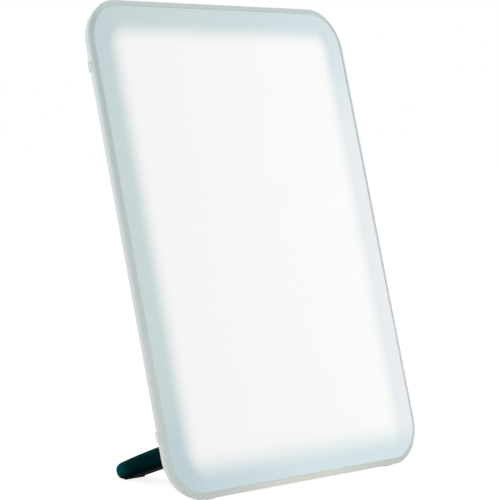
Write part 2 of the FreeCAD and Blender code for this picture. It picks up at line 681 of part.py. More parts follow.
# ---- Leg and hinge -----------------------------------------------------------------------------
# The leg is drawn along +Y from its hinge axis, its underside down, then dropped to the table.

def leg_outline(margin, z0, z1):
    half = LEG_WIDTH / 2 - margin
    straight = box(-half, half, 0, TIP_CENTRE, z0, z1)
    tip = Part.makeCylinder(half, z1 - z0, Vector(0, TIP_CENTRE, z0), Z_AXIS)
    return straight.fuse(tip).removeSplitter()


def above_table(lift):
    """Large block whose lower face lies parallel to the table, that far above it, in the leg's frame."""
    size = 4 * LEG_LENGTH
    block = box(-size, size, -size, size, 0, size)
    block.rotate(Vector(0, 0, 0), X_AXIS, math.degrees(LEG_SLOPE))
    table_normal = Vector(0, -math.sin(LEG_SLOPE), math.cos(LEG_SLOPE))
    block.translate(table_normal * (lift - PIVOT_RISE))
    return block


def pad_envelope(margin, top_gap, lift):
    """Room the tip pad fills: as thick along the leg's underside as along the table."""
    underside = -LEG_THICKNESS / 2 - PAD_PROUD
    plan = leg_outline(margin, underside, LEG_THICKNESS / 2)
    plan = plan.common(box(-LEG_WIDTH, LEG_WIDTH, LEG_LENGTH - PAD_LENGTH, LEG_LENGTH,
                           -LEG_LENGTH, LEG_LENGTH))
    layer_top = underside + PAD_THICKNESS + top_gap
    over = box(-LEG_WIDTH, LEG_WIDTH, -LEG_LENGTH, 2 * LEG_LENGTH, layer_top, LEG_LENGTH)
    return plan.common(above_table(lift)).cut(over.common(above_table(PAD_THICKNESS + top_gap)))


def drop_leg(shape):
    """Swing a shape from the leg's own frame to its open place in the upright panel's frame."""
    shape.rotate(Vector(0, 0, 0), X_AXIS, -math.degrees(LEG_PAST_SQUARE))
    shape.translate(Vector(LEG_X, PIVOT_Y, PIVOT_Z))
    return shape


def leg_side():
    """The leg seen from its side: flat below, with an upper side that curves gently down to the tip."""
    half = LEG_THICKNESS / 2
    reach = LEG_LENGTH - LEG_TAPER_START
    radius = (reach ** 2 + LEG_TAPER_DROP ** 2) / (2 * LEG_TAPER_DROP)
    middle_reach = reach / 2
    middle_drop = radius - math.sqrt(radius ** 2 - middle_reach ** 2)
    x = -LEG_WIDTH / 2
    start = Vector(x, LEG_TAPER_START, half)
    middle = Vector(x, LEG_TAPER_START + middle_reach, half - middle_drop)
    end = Vector(x, LEG_LENGTH, half - LEG_TAPER_DROP)
    corners = [end, Vector(x, LEG_LENGTH, -half), Vector(x, 0, -half), Vector(x, 0, half), start]
    edges = [Part.Arc(start, middle, end).toShape()]
    edges += [Part.makeLine(first, second) for first, second in zip(corners, corners[1:])]
    return Part.Face(Part.Wire(edges)).extrude(X_AXIS * LEG_WIDTH)


def stand_leg():
    half = LEG_WIDTH / 2
    blade = leg_outline(0.0, -LEG_THICKNESS / 2, LEG_THICKNESS / 2).common(leg_side())
    blade = blade.makeFillet(UPPER_ROUNDING, [edge for edge in blade.Edges
                                              if edge.BoundBox.YLength > 1e-3 and edge.BoundBox.ZMin > 0])
    underside = -LEG_THICKNESS / 2
    blade = blade.makeFillet(UNDER_ROUNDING, [edge for edge in blade.Edges if edge.BoundBox.YLength > 1e-3
                                              and edge.BoundBox.ZMax < underside + 1e-3])
    knuckle = rod_x(0, 0, KNUCKLE_RADIUS, -half, half)
    knuckle = knuckle.makeFillet(UPPER_ROUNDING, [edge for edge in knuckle.Edges if len(edge.Vertexes) == 1])
    leg = fuse_all([blade, knuckle])
    leg = leg.cut(rod_x(0, 0, PIN_RADIUS + PIN_CLEARANCE, -half - PAST, half + PAST))
    leg = leg.common(above_table(PAD_LIFT))
    leg = leg.cut(pad_envelope(PAD_MARGIN - FIT, FIT, -PAST))
    return drop_leg(leg)


def leg_tip_pad():
    return drop_leg(pad_envelope(PAD_MARGIN, 0.0, 0.0))


def hinge_pin():
    reach = HINGE_HALF + PIN_END
    pin = rod_x(PIVOT_Y, PIVOT_Z, PIN_RADIUS, LEG_X - reach, LEG_X + reach)
    groove_radius = PIN_RADIUS - CLIP_GROOVE_DEPTH
    for x0, x1 in clip_spans(FIT):
        ring = rod_x(PIVOT_Y, PIVOT_Z, PIN_RADIUS + PAST, x0, x1)
        pin = pin.cut(ring.cut(rod_x(PIVOT_Y, PIVOT_Z, groove_radius, x0 - PAST, x1 + PAST)))
    return pin


def clip_spans(grow):
    inner = HINGE_HALF + 2 * FIT
    outer = inner + CLIP_THICKNESS
    return ((LEG_X - outer - grow, LEG_X - inner + grow), (LEG_X + inner - grow, LEG_X + outer + grow))


def hinge_clips():
    clips = []
    bore = PIN_RADIUS - CLIP_GROOVE_DEPTH + FIT
    mouth = CLIP_MOUTH / 2
    for x0, x1 in clip_spans(0.0):
        clip = rod_x(PIVOT_Y, PIVOT_Z, CLIP_RADIUS, x0, x1)
        clip = clip.cut(rod_x(PIVOT_Y, PIVOT_Z, bore, x0 - PAST, x1 + PAST))
        clips.append(clip.cut(box(x0 - PAST, x1 + PAST, PIVOT_Y - mouth, PIVOT_Y + mouth,
                                  PIVOT_Z, PIVOT_Z + 2 * CLIP_RADIUS)))
    return clips


def friction_washers():
    washers = []
    middle = (LEG_WIDTH / 2 + POCKET_HALF) / 2
    for x in (LEG_X - middle, LEG_X + middle):
        x0 = x - WASHER_THICKNESS / 2
        x1 = x + WASHER_THICKNESS / 2
        disc = rod_x(PIVOT_Y, PIVOT_Z, WASHER_RADIUS, x0, x1)
        washers.append(disc.cut(rod_x(PIVOT_Y, PIVOT_Z, PIN_RADIUS + PIN_CLEARANCE, x0 - PAST, x1 + PAST)))
    return washers


# ---- Power inlet, driver board, button ---------------------------------------------------------

def jack_housing():
    body = box(JACK_X0, JACK_X1, JACK_Y0, JACK_Y1, JACK_Z - JACK_WIDTH / 2, JACK_Z + JACK_WIDTH / 2)
    nose = rod_x(JACK_Y, JACK_Z, JACK_NOSE_RADIUS, JACK_X1, JACK_FACE_X)
    bore = rod_x(JACK_Y, JACK_Z, JACK_BORE_RADIUS, JACK_FACE_X - JACK_BORE_DEPTH, JACK_FACE_X + PAST)
    pin_hole = rod_x(JACK_Y, JACK_Z, JACK_PIN_RADIUS, JACK_X0 - PAST, JACK_FACE_X)
    return cut_all(fuse_all([body, nose]), [bore, pin_hole])


def jack_pin():
    mouth = JACK_FACE_X - JACK_BORE_DEPTH + JACK_PIN_LENGTH
    return rod_x(JACK_Y, JACK_Z, JACK_PIN_RADIUS, JACK_X0 - JACK_PIN_TAIL, mouth)


def jack_contacts():
    contacts = []
    x0 = JACK_X0 + JACK_TAB
    for side in (-1, 1):
        z0, z1 = sorted((JACK_Z + side * JACK_WIDTH / 2, JACK_Z + side * (JACK_WIDTH / 2 + JACK_TAB)))
        contacts.append(box(x0, x0 + JACK_TAB, BOARD_BACK, BOARD_BACK + JACK_TAB_THICKNESS, z0, z1))
    return contacts


def driver_board():
    board = box(BOARD_LEFT, BOARD_LEFT + BOARD_LENGTH, BOARD_FRONT, BOARD_BACK, BOARD_BOTTOM, BOARD_TOP)
    half = JACK_WIDTH / 2 + FIT
    inlet_notch = box(JACK_X0 - JACK_PIN_TAIL - SLIP, JACK_FACE_X, BOARD_FRONT - PAST, BOARD_BACK + PAST,
                      JACK_Z - half, JACK_Z + half)
    return cut_all(board, [inlet_notch] + screw_holes(board_screw_places(), BOARD_FRONT, BOARD_BACK))


def on_board(offset, z, width, height, rise, gap=0.0):
    """Block standing on the back of the driver board, offset from the board's left end."""
    x = BOARD_LEFT + offset
    return box(x - width / 2, x + width / 2, BOARD_BACK + gap, BOARD_BACK + gap + rise,
               z - height / 2, z + height / 2)


def power_inductor():
    x = BOARD_LEFT + INDUCTOR_OFFSET
    coil_top = INDUCTOR_PLATE + INDUCTOR_COIL_HEIGHT
    base = on_board(INDUCTOR_OFFSET, BOARD_MIDDLE, INDUCTOR_BASE_WIDTH, INDUCTOR_BASE_WIDTH, INDUCTOR_PLATE)
    coil = rod_y(x, BOARD_MIDDLE, INDUCTOR_COIL_RADIUS, BOARD_BACK + INDUCTOR_PLATE, BOARD_BACK + coil_top)
    cap = on_board(INDUCTOR_OFFSET, BOARD_MIDDLE, INDUCTOR_CAP_WIDTH, INDUCTOR_CAP_WIDTH, INDUCTOR_PLATE,
                   coil_top)
    return fuse_all([base, coil, cap])


def capacitors():
    cans = []
    top = BOARD_BACK + CAPACITOR_HEIGHT
    for step in (-1, 0, 1):
        can = rod_y(BOARD_LEFT + CAPACITOR_OFFSET, BOARD_MIDDLE + step * CAPACITOR_PITCH, CAPACITOR_RADIUS,
                    BOARD_BACK, top)
        cans.append(can.makeFillet(CAPACITOR_EDGE_RADIUS, edges_at_depth(can, top)))
    return cans


def driver_chip():
    return on_board(CHIP_OFFSET, BOARD_MIDDLE, CHIP_LENGTH, CHIP_WIDTH, CHIP_HEIGHT)


def small_parts():
    parts = []
    for row in (-1, 1):
        z = BOARD_MIDDLE + row * CERAMIC_ROW_SPACING / 2
        for index in range(CERAMICS_IN_ROW):
            offset = CERAMIC_OFFSET + index * CERAMIC_PITCH
            parts.append(on_board(offset, z, CERAMIC_LENGTH, CERAMIC_WIDTH, CERAMIC_HEIGHT))
    return parts


def wire_plugs():
    """Small plugs on the driver board that the three pairs of leads come out of."""
    places = ((LEFT_PLUG_OFFSET, LED_PLUG_Z), (RIGHT_PLUG_OFFSET, LED_PLUG_Z),
              (SWITCH_PLUG_OFFSET, SWITCH_PLUG_Z))
    return [on_board(offset + WIRE_SPACING / 2, z, PLUG_WIDTH, PLUG_DEPTH, PLUG_RISE)
            for offset, z in places]


def wire(points):
    """Round wire along straight runs joined by tangent arcs."""
    edges = []
    start = points[0]
    for index in range(1, len(points) - 1):
        corner = points[index]
        into = (corner - points[index - 1]).normalize()
        out = (points[index + 1] - corner).normalize()
        half_turn = into.getAngle(out) / 2
        cut = WIRE_BEND * math.tan(half_turn)
        arc_start = corner - into * cut
        arc_end = corner + out * cut
        bisector = (out - into).normalize()
        middle = corner + bisector * (WIRE_BEND / math.cos(half_turn) - WIRE_BEND)
        edges.append(Part.makeLine(start, arc_start))
        edges.append(Part.Arc(arc_start, middle, arc_end).toShape())
        start = arc_end
    edges.append(Part.makeLine(start, points[-1]))
    path = Part.Wire(edges)
    circle = Part.Circle(points[0], (points[1] - points[0]).normalize(), WIRE_RADIUS)
    return path.makePipeShell([Part.Wire(circle.toShape())], True, False)


def led_leads():
    leads = []
    strip_end = MID_HEIGHT - STRIP_LENGTH / 2
    front = (GUIDE_FRONT + GUIDE_BACK) / 2
    start_z = LED_PLUG_Z - PLUG_DEPTH / 2
    for side, offset in ((-1, LEFT_PLUG_OFFSET), (1, RIGHT_PLUG_OFFSET)):
        for index in range(2):
            x = BOARD_LEFT + offset + WIRE_SPACING * (index if side > 0 else 1 - index)
            z = LEAD_RUN_Z + WIRE_SPACING * index
            leads.append(wire([Vector(x, LEAD_Y, start_z), Vector(x, LEAD_Y, z),
                               Vector(side * LEAD_X, LEAD_Y, z), Vector(side * LEAD_X, front, z)]))
    return leads


def switch_leads():
    leads = []
    start_z = SWITCH_PLUG_Z + PLUG_DEPTH / 2
    end_z = BUTTON_Z - SWITCH_BOARD_HEIGHT / 2
    y = SWITCH_BOARD_BACK + WIRE_RADIUS + FIT
    for index in range(2):
        x = BOARD_LEFT + SWITCH_PLUG_OFFSET + WIRE_SPACING * index
        far = BUTTON_X - WIRE_SPACING * (1 - index)
        middle = (start_z + end_z) / 2 + WIRE_SPACING * (1 - index)
        leads.append(wire([Vector(x, y, start_z), Vector(x, y, middle), Vector(far, y, middle),
                           Vector(far, y, end_z + LEAD_TAIL)]))
    return leads


def board_screws():
    places = board_screw_places()
    screws = [screw(x, z, BOARD_FRONT - SCREW_HEAD_HEIGHT, BOARD_SCREW_LENGTH, 1) for x, z in places]
    screws += [screw(x, z, SWITCH_BOARD_FRONT - SCREW_HEAD_HEIGHT, BOARD_SCREW_LENGTH, 1)
               for x, z in switch_screw_places()]
    return screws


def switch_board():
    board = box(BUTTON_X - SWITCH_BOARD_WIDTH / 2, BUTTON_X + SWITCH_BOARD_WIDTH / 2,
                SWITCH_BOARD_FRONT, SWITCH_BOARD_BACK,
                BUTTON_Z - SWITCH_BOARD_HEIGHT / 2, BUTTON_Z + SWITCH_BOARD_HEIGHT / 2)
    return cut_all(board, screw_holes(switch_screw_places(), SWITCH_BOARD_FRONT, SWITCH_BOARD_BACK))


def switch_body():
    half = SWITCH_BODY / 2
    body = box(BUTTON_X - half, BUTTON_X + half, SWITCH_BOARD_BACK, SWITCH_BODY_BACK,
               BUTTON_Z - half, BUTTON_Z + half)
    well = SWITCH_BODY_BACK - PLUNGER_DEPTH - BUTTON_TRAVEL - PLUNGER_GAP
    return body.cut(rod_y(BUTTON_X, BUTTON_Z, PLUNGER_RADIUS + PLUNGER_GAP, well, SWITCH_BODY_BACK + PAST))


def switch_plunger():
    return rod_y(BUTTON_X, BUTTON_Z, PLUNGER_RADIUS, SWITCH_BODY_BACK - PLUNGER_DEPTH, BUTTON_FLANGE_FRONT)


def power_button():
    top = BACK_DEPTH + BUTTON_PROUD
    cap = rod_y(BUTTON_X, BUTTON_Z, BUTTON_RADIUS, BUTTON_FLANGE_FRONT, top)
    cap = cap.makeFillet(BUTTON_EDGE_RADIUS, edges_at_depth(cap, top))
    flange = rod_y(BUTTON_X, BUTTON_Z, BUTTON_RADIUS + BUTTON_FLANGE, BUTTON_FLANGE_FRONT, BUTTON_FLANGE_BACK)
    dish_half = BUTTON_RADIUS - 2 * BUTTON_EDGE_RADIUS
    dish_radius = (dish_half ** 2 + BUTTON_DISH_DEPTH ** 2) / (2 * BUTTON_DISH_DEPTH)
    dish = Part.makeSphere(dish_radius, Vector(BUTTON_X, top + dish_radius - BUTTON_DISH_DEPTH, BUTTON_Z))
    return fuse_all([cap, flange]).cut(dish)


# ---- Assembly ----------------------------------------------------------------------------------

def build():
    return {
        "front_frame": front_frame(),
        "diffuser_panel": diffuser_panel(),
        "diffuser_gasket": diffuser_gasket(),
        "light_seal": light_seal(),
        "prism_film": guide_sheet(FILM_FRONT, GUIDE_FRONT, FIT),
        "light_guide_plate": guide_sheet(GUIDE_FRONT, GUIDE_BACK),
        "reflector_sheet": guide_sheet(GUIDE_BACK, TRAY_FRONT, FIT),
        "light_tray": light_tray(),
        "led_strips": led_strips(),
        "led_packages": led_packages(),
        "tray_screws": tray_screws(),
        "rear_shell": rear_shell(),
        "shell_screws": shell_screws(),
        "bottom_feet": bottom_feet(),
        "side_feet": side_feet(),
        "stand_leg": stand_leg(),
        "leg_tip_pad": leg_tip_pad(),
        "hinge_pin": hinge_pin(),
        "hinge_clips": hinge_clips(),
        "friction_washers": friction_washers(),
        "driver_board": driver_board(),
        "driver_chip": driver_chip(),
        "power_inductor": power_inductor(),
        "capacitors": capacitors(),
        "small_parts": small_parts(),
        "wire_plugs": wire_plugs(),
        "led_leads": led_leads(),
        "switch_leads": switch_leads(),
        "board_screws": board_screws(),
        "jack_housing": jack_housing(),
        "jack_pin": jack_pin(),
        "jack_contacts": jack_contacts(),
        "power_button": power_button(),
        "switch_plunger": switch_plunger(),
        "switch_body": switch_body(),
        "switch_board": switch_board(),
    }


def lean_back(shape):
    """Lean a piece of the upright panel back and lift it so that the table is at Z = 0."""
    shape.rotate(Vector(0, 0, 0), X_AXIS, -LEAN_DEG)
    shape.translate(Vector(0, 0, -TABLE_DROP))
    return shape


def flatten_feet(shape):
    """Cut away what would lie below the table."""
    return shape.common(box(-PANEL_WIDTH, PANEL_WIDTH, -PANEL_HEIGHT, PANEL_HEIGHT, 0, PANEL_HEIGHT))


def main():
    os.makedirs("parts", exist_ok=True)
    nodes = {}
    for name, pieces in build().items():
        whole = Part.makeCompound(pieces) if isinstance(pieces, list) else pieces
        nodes[name] = lean_back(whole)
    nodes["bottom_feet"] = flatten_feet(nodes["bottom_feet"])
    bounds = Part.makeCompound(list(nodes.values())).optimalBoundingBox(False)
    middle = Vector(-bounds.Center.x, -bounds.Center.y, 0)
    for name, shape in nodes.items():
        shape.translate(middle)
        shape.exportStep(os.path.join("parts", name + ".step"))
        print(name, len(shape.Solids), round(shape.Volume, 2), shape.isValid())
    print("offset", middle, "size", bounds.XLength, bounds.YLength, bounds.ZLength)


main()
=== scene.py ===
"""Light therapy lamp: finishes, small hardware, camera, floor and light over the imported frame.

Lengths are in metres in the frame's own axes. The panel leans back, so patterns that belong to it
are drawn in its own coordinates, from the middle of the diffuser: X across, Y from the front to
the back, Z up the panel.
"""
import json
import math

import bmesh
import bpy
from mathutils import Euler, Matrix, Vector


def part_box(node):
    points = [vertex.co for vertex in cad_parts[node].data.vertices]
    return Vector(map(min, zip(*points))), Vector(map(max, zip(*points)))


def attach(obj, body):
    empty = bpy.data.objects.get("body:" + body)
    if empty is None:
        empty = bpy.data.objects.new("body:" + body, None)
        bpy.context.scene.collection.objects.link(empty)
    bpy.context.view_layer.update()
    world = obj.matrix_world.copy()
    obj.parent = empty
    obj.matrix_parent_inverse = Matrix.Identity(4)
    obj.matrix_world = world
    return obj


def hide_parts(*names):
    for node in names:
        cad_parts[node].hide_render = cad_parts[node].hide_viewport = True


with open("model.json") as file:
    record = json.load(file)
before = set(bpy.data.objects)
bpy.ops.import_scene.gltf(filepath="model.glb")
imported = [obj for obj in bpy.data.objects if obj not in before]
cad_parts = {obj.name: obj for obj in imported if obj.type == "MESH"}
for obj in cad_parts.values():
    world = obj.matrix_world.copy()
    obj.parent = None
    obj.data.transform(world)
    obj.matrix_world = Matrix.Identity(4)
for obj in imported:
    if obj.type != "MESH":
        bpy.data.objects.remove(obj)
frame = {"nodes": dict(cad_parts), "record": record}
bpy.context.view_layer.update()

MM = 0.001

# ---- Sizes and places --------------------------------------------------------------------------

# Panel
LEAN = math.radians(14.4)                     # leant back about the X axis
PANEL_TURN = Euler((-LEAN, 0, 0)).to_matrix()
PANEL_ACROSS = Vector((1, 0, 0))
PANEL_BACK = PANEL_TURN @ Vector((0, 1, 0))
PANEL_UP = PANEL_TURN @ Vector((0, 0, 1))

# Diffuser
DIFFUSER_LOW, DIFFUSER_HIGH = (Vector(corner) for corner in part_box("diffuser_panel"))
DIFFUSER_MIDDLE = (DIFFUSER_LOW + DIFFUSER_HIGH) / 2
DIFFUSER_THICKNESS = 2.0 * MM
DIFFUSER_WIDTH = DIFFUSER_HIGH.x - DIFFUSER_LOW.x
DIFFUSER_HEIGHT = (DIFFUSER_HIGH.z - DIFFUSER_LOW.z - DIFFUSER_THICKNESS * math.sin(LEAN)) / math.cos(LEAN)

# Glow, as distances in from the diffuser's edge: where the light begins and where it is full
GLOW_LEFT = (8.2 * MM, 30 * MM)
GLOW_RIGHT = (9.5 * MM, 27 * MM)
GLOW_TOP = (8 * MM, 28.2 * MM)
GLOW_BOTTOM = (4.8 * MM, 30 * MM)
GLOW_CURVE = 2.0                              # power that shapes the fall of light towards an edge
GLOW_LEVEL_LEFT = 0.27                        # strength of the full light at the left edge
GLOW_LEVEL_RIGHT = 0.33                       # and at the right edge
GLOW_DRIFT = 0.008                            # how far its clouds move that strength, up and down
GLOW_CLOUD_SIZE = 60 * MM

# Border round the glow, from the diffuser's middle: where each change of tone, painted shade and painted
# light starts, and where it is whole
BORDER_FOOT = (-122 * MM, -136 * MM)          # downward, to the bluer tone along the bottom
BORDER_FOOT_PALES = (-100 * MM, 20 * MM)      # rightward along the bottom
BORDER_SHADE_LEFT = (-80 * MM, -104 * MM)     # leftward, to the darker corners on the left
BORDER_SHADE_DOWN = (-80 * MM, -122 * MM)     # downward to the lower one
BORDER_SHADE_UP = (85 * MM, 128 * MM)         # upward to the upper one
BORDER_SHADE_UPPER = 0.45                     # how dark the upper one is, as a share of the lower one
BORDER_LIT_RIGHT = (80 * MM, 106 * MM)     # rightward, to the painted light on the right side
BORDER_LIT_BELOW = (148 * MM, 50 * MM)     # downward from the top corner
BORDER_LIT_ABOVE = (-141 * MM, -127 * MM)  # upward from the bottom corner

# Rim, with where a change of painted light and shade starts and where it is whole
RIM_HALF_WIDTH = 115 * MM
RIM_HALF_HEIGHT = 150 * MM
RIM_CORNER = 27 * MM
RIM_SHADE_DEEPENS = (80 * MM, 270 * MM)             # up from its bottom edge, to a deeper tone of painted shade
RIM_LIT_FOOT = (30 * MM, 6 * MM)             # up from its bottom edge, for the painted reflection of the floor along its foot
RIM_LIT_FOOT_REACH = (95 * MM, 25 * MM)           # out from its middle, for the same
RIM_LIT_TOP = (15 * MM, 3 * MM)              # down from its top edge, for painted light along the top
RIM_EDGE_HIGHLIGHT = (1.1 * MM, 0.4 * MM)            # in from its outer edge, for a painted highlight along its bevel
RIM_CLOUD = 0.12                              # share of the greyer tone in its clouds, at most

# Shell: heights on the panel where its painted shade starts, and where it is deepest
SHELL_SHADE = (110 * MM, -130 * MM)

# Leg, as it stands open: distances from its hinge axis
LEG_SLOPE = math.radians(19.974)              # below horizontal
LEG_PIVOT = Vector((-59.276, -26.732, 30.258)) * MM
LEG_TIP_HIGHLIGHT = (60 * MM, 76 * MM)                 # along it, where its teal painted highlight at the tip starts, and is brightest
LEG_LIT_UPPER_SIDE = (1 * MM, 5 * MM)             # square to it, where the painted light on its upper side starts, and is whole
LEG_SHADED_UNDERSIDE = (-2 * MM, -5 * MM)            # the same for the painted shade on its underside

# Light guide, film and circuit boards
DOT_SPACING = 1.5 * MM
DOT_RADIUS = 0.28                             # as a share of the spacing
RIDGE_SPACING = 0.8 * MM
RIDGE_DEPTH = 0.1 * MM
COPPER_THICKNESS = 0.035 * MM

# Refractive indices
ACRYLIC_IOR = 1.49
PLASTIC_IOR = 1.53                            # ABS, nylon and PVC
EPOXY_IOR = 1.55
POLYESTER_IOR = 1.57
SILICONE_IOR = 1.41

# Patches of slightly uneven colour and sheen on moulded plastic
COLOUR_PATCH = 18 * MM
SHEEN_PATCH = 6 * MM

# Values that a noise texture mostly keeps between
NOISE_LOW = 0.3
NOISE_HIGH = 0.7

# Shell screws
SCREW_SIZES = {
    "Head Radius": 2.3 * MM,
    "Head Height": 1.3 * MM,
    "Rim Height": 0.15 * MM,
    "Shank Radius": 1.25 * MM,
    "Length": 4.6 * MM,
    "Recess Length": 2.8 * MM,
    "Recess Width": 0.7 * MM,
    "Recess Depth": 0.6 * MM,
}
SCREW_HEAD_SIDES = 48
SCREW_SHANK_SIDES = 32
SCREW_TURN_SEED = 7
SCREW_TURN_MOST = math.pi / 2                 # a cross looks the same after a quarter turn

# Light-emitting packages
LED_SIZES = {
    "Length": 3.0 * MM,
    "Depth": 2.0 * MM,
    "Height": 0.7 * MM,
    "Wall": 0.25 * MM,
    "Window Sunk": 0.12 * MM,
}

# Reading the frame's solids, and smoothing the pieces that take their place
MERGE_DISTANCE = 0.001 * MM                   # corners closer than this are one corner
ORDER_STEP = 0.1 * MM                         # solids are put in order by their places, in these steps
SHARP_ANGLE = math.radians(25)                # edges that turn more than this stay hard

# Camera
IMAGE_SIDE = 500                              # pixels
CAMERA_PLACE = Vector((-1.02707, -0.93641, 0.22769))
CAMERA_AZIMUTH = math.radians(-47.752)
CAMERA_TILT = math.radians(-3.629)            # below the horizon
FOCAL_PIXELS = 2247.3
SENSOR_WIDTH_MM = 36.0
CAMERA_NEAR = 0.05
CAMERA_FAR = 50

# Floor and world
FLOOR_HALF_WIDTH = 6.0
FLOOR_SEEN_WHITE = 0.6                        # share of the seen floor that is white and takes no shadow
FLOOR_WHITE_STRENGTH = 1.40                   # of that share, so that the whole looks white
WORLD_SOFT_STRENGTH = 0.55                    # of the light that falls on the lamp
WORLD_SEEN_STRENGTH = 1.0
WHITE = (1, 1, 1, 1)

# Softboxes: where each hangs, the side of its square, and its power in watts
SOFTBOXES = {
    "key_softbox": (Vector((0.8, -1.9, 0.70)), 1.2, 15.5),
    "side_softbox": (Vector((-1.9, 0.6, 1.2)), 1.0, 9),
    "rear_softbox": (Vector((0.6, 2.0, 1.5)), 1.2, 14),
}

# Inputs and output of a Mix node set to colour, and output of a Random Value node set to float
MIX_A = 6
MIX_B = 7
MIX_COLOUR = 2
RANDOM_FLOAT = 1


# ---- Small tools -------------------------------------------------------------------------------

def linear(hex_colour):
    """A colour written as sRGB hex, as the linear values that a shader takes."""
    channels = [int(hex_colour[i:i + 2], 16) / 255 for i in (1, 3, 5)]
    return tuple(c / 12.92 if c <= 0.04045 else ((c + 0.055) / 1.055) ** 2.4 for c in channels) + (1.0,)


def add(tree, kind, inputs=None, **settings):
    """Adds a node; each input is set to a value or linked from a socket."""
    made = tree.nodes.new(kind)
    for name, value in settings.items():
        setattr(made, name, value)
    for key, value in (inputs or {}).items():
        if isinstance(value, bpy.types.NodeSocket):
            tree.links.new(value, made.inputs[key])
        else:
            made.inputs[key].default_value = value
    return made


def cleared_nodes(owner):
    """The empty node tree of a material or a world."""
    owner.use_nodes = True
    owner.node_tree.nodes.clear()
    return owner.node_tree


def put_in_scene(name, data):
    """A new object that holds the given mesh, light or camera."""
    made = bpy.data.objects.new(name, data)
    bpy.context.collection.objects.link(made)
    return made


# ---- Finishes: what they are built from --------------------------------------------------------

def start_finish(name):
    """A material with only its shader, and the place on the object that its patterns are read from."""
    material = bpy.data.materials.new(name)
    tree = cleared_nodes(material)
    shader = add(tree, "ShaderNodeBsdfPrincipled")
    add(tree, "ShaderNodeOutputMaterial", {"Surface": shader.outputs["BSDF"]})
    place = add(tree, "ShaderNodeTexCoord").outputs["Object"]
    return material, tree, shader, place


def upright(tree, place):
    """The panel's own coordinates, from the middle of the diffuser."""
    turned = add(tree, "ShaderNodeMapping", {"Vector": place, "Location": DIFFUSER_MIDDLE,
                                             "Rotation": (-LEAN, 0, 0)}, vector_type="TEXTURE")
    return turned.outputs["Vector"]


def eased_share(tree, value, starts, ends):
    """Nought where the value is at its start, easing to one at its end."""
    return add(tree, "ShaderNodeMapRange", {"Value": value, "From Min": starts, "From Max": ends},
               interpolation_type="SMOOTHSTEP").outputs["Result"]


def blend_colours(tree, share, first, second):
    """Colour that goes from the first to the second as the share goes from nought to one."""
    mix = add(tree, "ShaderNodeMix", {0: share, MIX_A: first, MIX_B: second}, data_type="RGBA")
    return mix.outputs[MIX_COLOUR]


def patchy_colour(tree, place, size, first, second):
    """Two near colours in soft patches of the given size."""
    patches = add(tree, "ShaderNodeTexNoise", {"Vector": place, "Scale": 1 / size, "Detail": 3.0})
    return blend_colours(tree, patches.outputs["Fac"], linear(first), linear(second))


def set_colour(tree, shader, colour):
    """Gives the shader a colour that changes over the surface."""
    tree.links.new(colour, shader.inputs["Base Color"])


def set_sheen_patches(tree, shader, place, size, roughness, spread=0.05):
    """Roughness that wanders a little in patches of the given size."""
    patches = add(tree, "ShaderNodeTexNoise", {"Vector": place, "Scale": 1 / size, "Detail": 4.0})
    rough = add(tree, "ShaderNodeMapRange", {"Value": patches.outputs["Fac"], "From Min": NOISE_LOW,
                                             "From Max": NOISE_HIGH, "To Min": roughness - spread,
                                             "To Max": roughness + spread})
    tree.links.new(rough.outputs["Result"], shader.inputs["Roughness"])


def press_in(tree, shader, height, depth):
    """Relief of the given depth from a height between nought and one."""
    bump = add(tree, "ShaderNodeBump", {"Height": height, "Strength": 1.0, "Distance": depth})
    tree.links.new(bump.outputs["Normal"], shader.inputs["Normal"])


def set_grain(tree, shader, place, size, depth):
    """Fine uneven relief with bumps of the given size."""
    noise = add(tree, "ShaderNodeTexNoise", {"Vector": place, "Scale": 1 / size, "Detail": 2.0})
    press_in(tree, shader, noise.outputs["Fac"], depth)


def set_moulded_surface(tree, shader, place, patch, roughness, grain, depth, ior=PLASTIC_IOR):
    """What a textured tool leaves: an eroded grain and a slightly uneven sheen."""
    set_sheen_patches(tree, shader, place, patch, roughness)
    set_grain(tree, shader, place, grain, depth)
    shader.inputs["IOR"].default_value = ior


def moulded(name, first, second, roughness, grain, depth, ior=PLASTIC_IOR, patch=COLOUR_PATCH):
    """Moulded in a textured tool: even colour over the tool's own surface."""
    material, tree, shader, place = start_finish(name)
    set_colour(tree, shader, patchy_colour(tree, place, patch, first, second))
    set_moulded_surface(tree, shader, place, patch / 3, roughness, grain, depth, ior)
    return material


def worked_metal(name, first, second, roughness, mark, depth, stretch=(1, 1, 1)):
    """Metal with fine marks of the given size, drawn out along the way that it was worked."""
    material, tree, shader, place = start_finish(name)
    marks = add(tree, "ShaderNodeMapping", {"Vector": place, "Scale": stretch}).outputs["Vector"]
    set_colour(tree, shader, patchy_colour(tree, marks, 4 * mark, first, second))
    set_sheen_patches(tree, shader, marks, mark, roughness, spread=0.07)
    set_grain(tree, shader, marks, mark, depth)
    shader.inputs["Metallic"].default_value = 1.0
    return material


def foamed(name, first, second, cell, depth):
    """Foam whose cut face shows its closed cells as small round hollows."""
    material, tree, shader, place = start_finish(name)
    cells = add(tree, "ShaderNodeTexVoronoi", {"Vector": place, "Scale": 1 / cell}).outputs["Distance"]
    set_colour(tree, shader, blend_colours(tree, cells, linear(first), linear(second)))
    press_in(tree, shader, cells, depth)
    shader.inputs["Roughness"].default_value = 0.85
    return material


def solder_masked(name, mask, over_copper, track):
    """Circuit board: a smooth lacquer that shows the copper tracks under it as a lighter, raised grid."""
    material, tree, shader, place = start_finish(name)
    flat = add(tree, "ShaderNodeMapping", {"Vector": upright(tree, place),
                                           "Rotation": (math.pi / 2, 0, 0)}).outputs["Vector"]
    tracks = add(tree, "ShaderNodeTexBrick", {"Vector": flat, "Scale": 1.0, "Brick Width": 6 * track,
                                              "Row Height": 3 * track, "Mortar Size": track / 3,
                                              "Mortar Smooth": 0.2}).outputs["Fac"]
    set_colour(tree, shader, blend_colours(tree, tracks, linear(mask), linear(over_copper)))
    set_sheen_patches(tree, shader, place, 5 * track, roughness=0.28)
    press_in(tree, shader, tracks, COPPER_THICKNESS)
    shader.inputs["IOR"].default_value = EPOXY_IOR
    return material


# ---- Finishes: the lamp's own ------------------------------------------------------------------

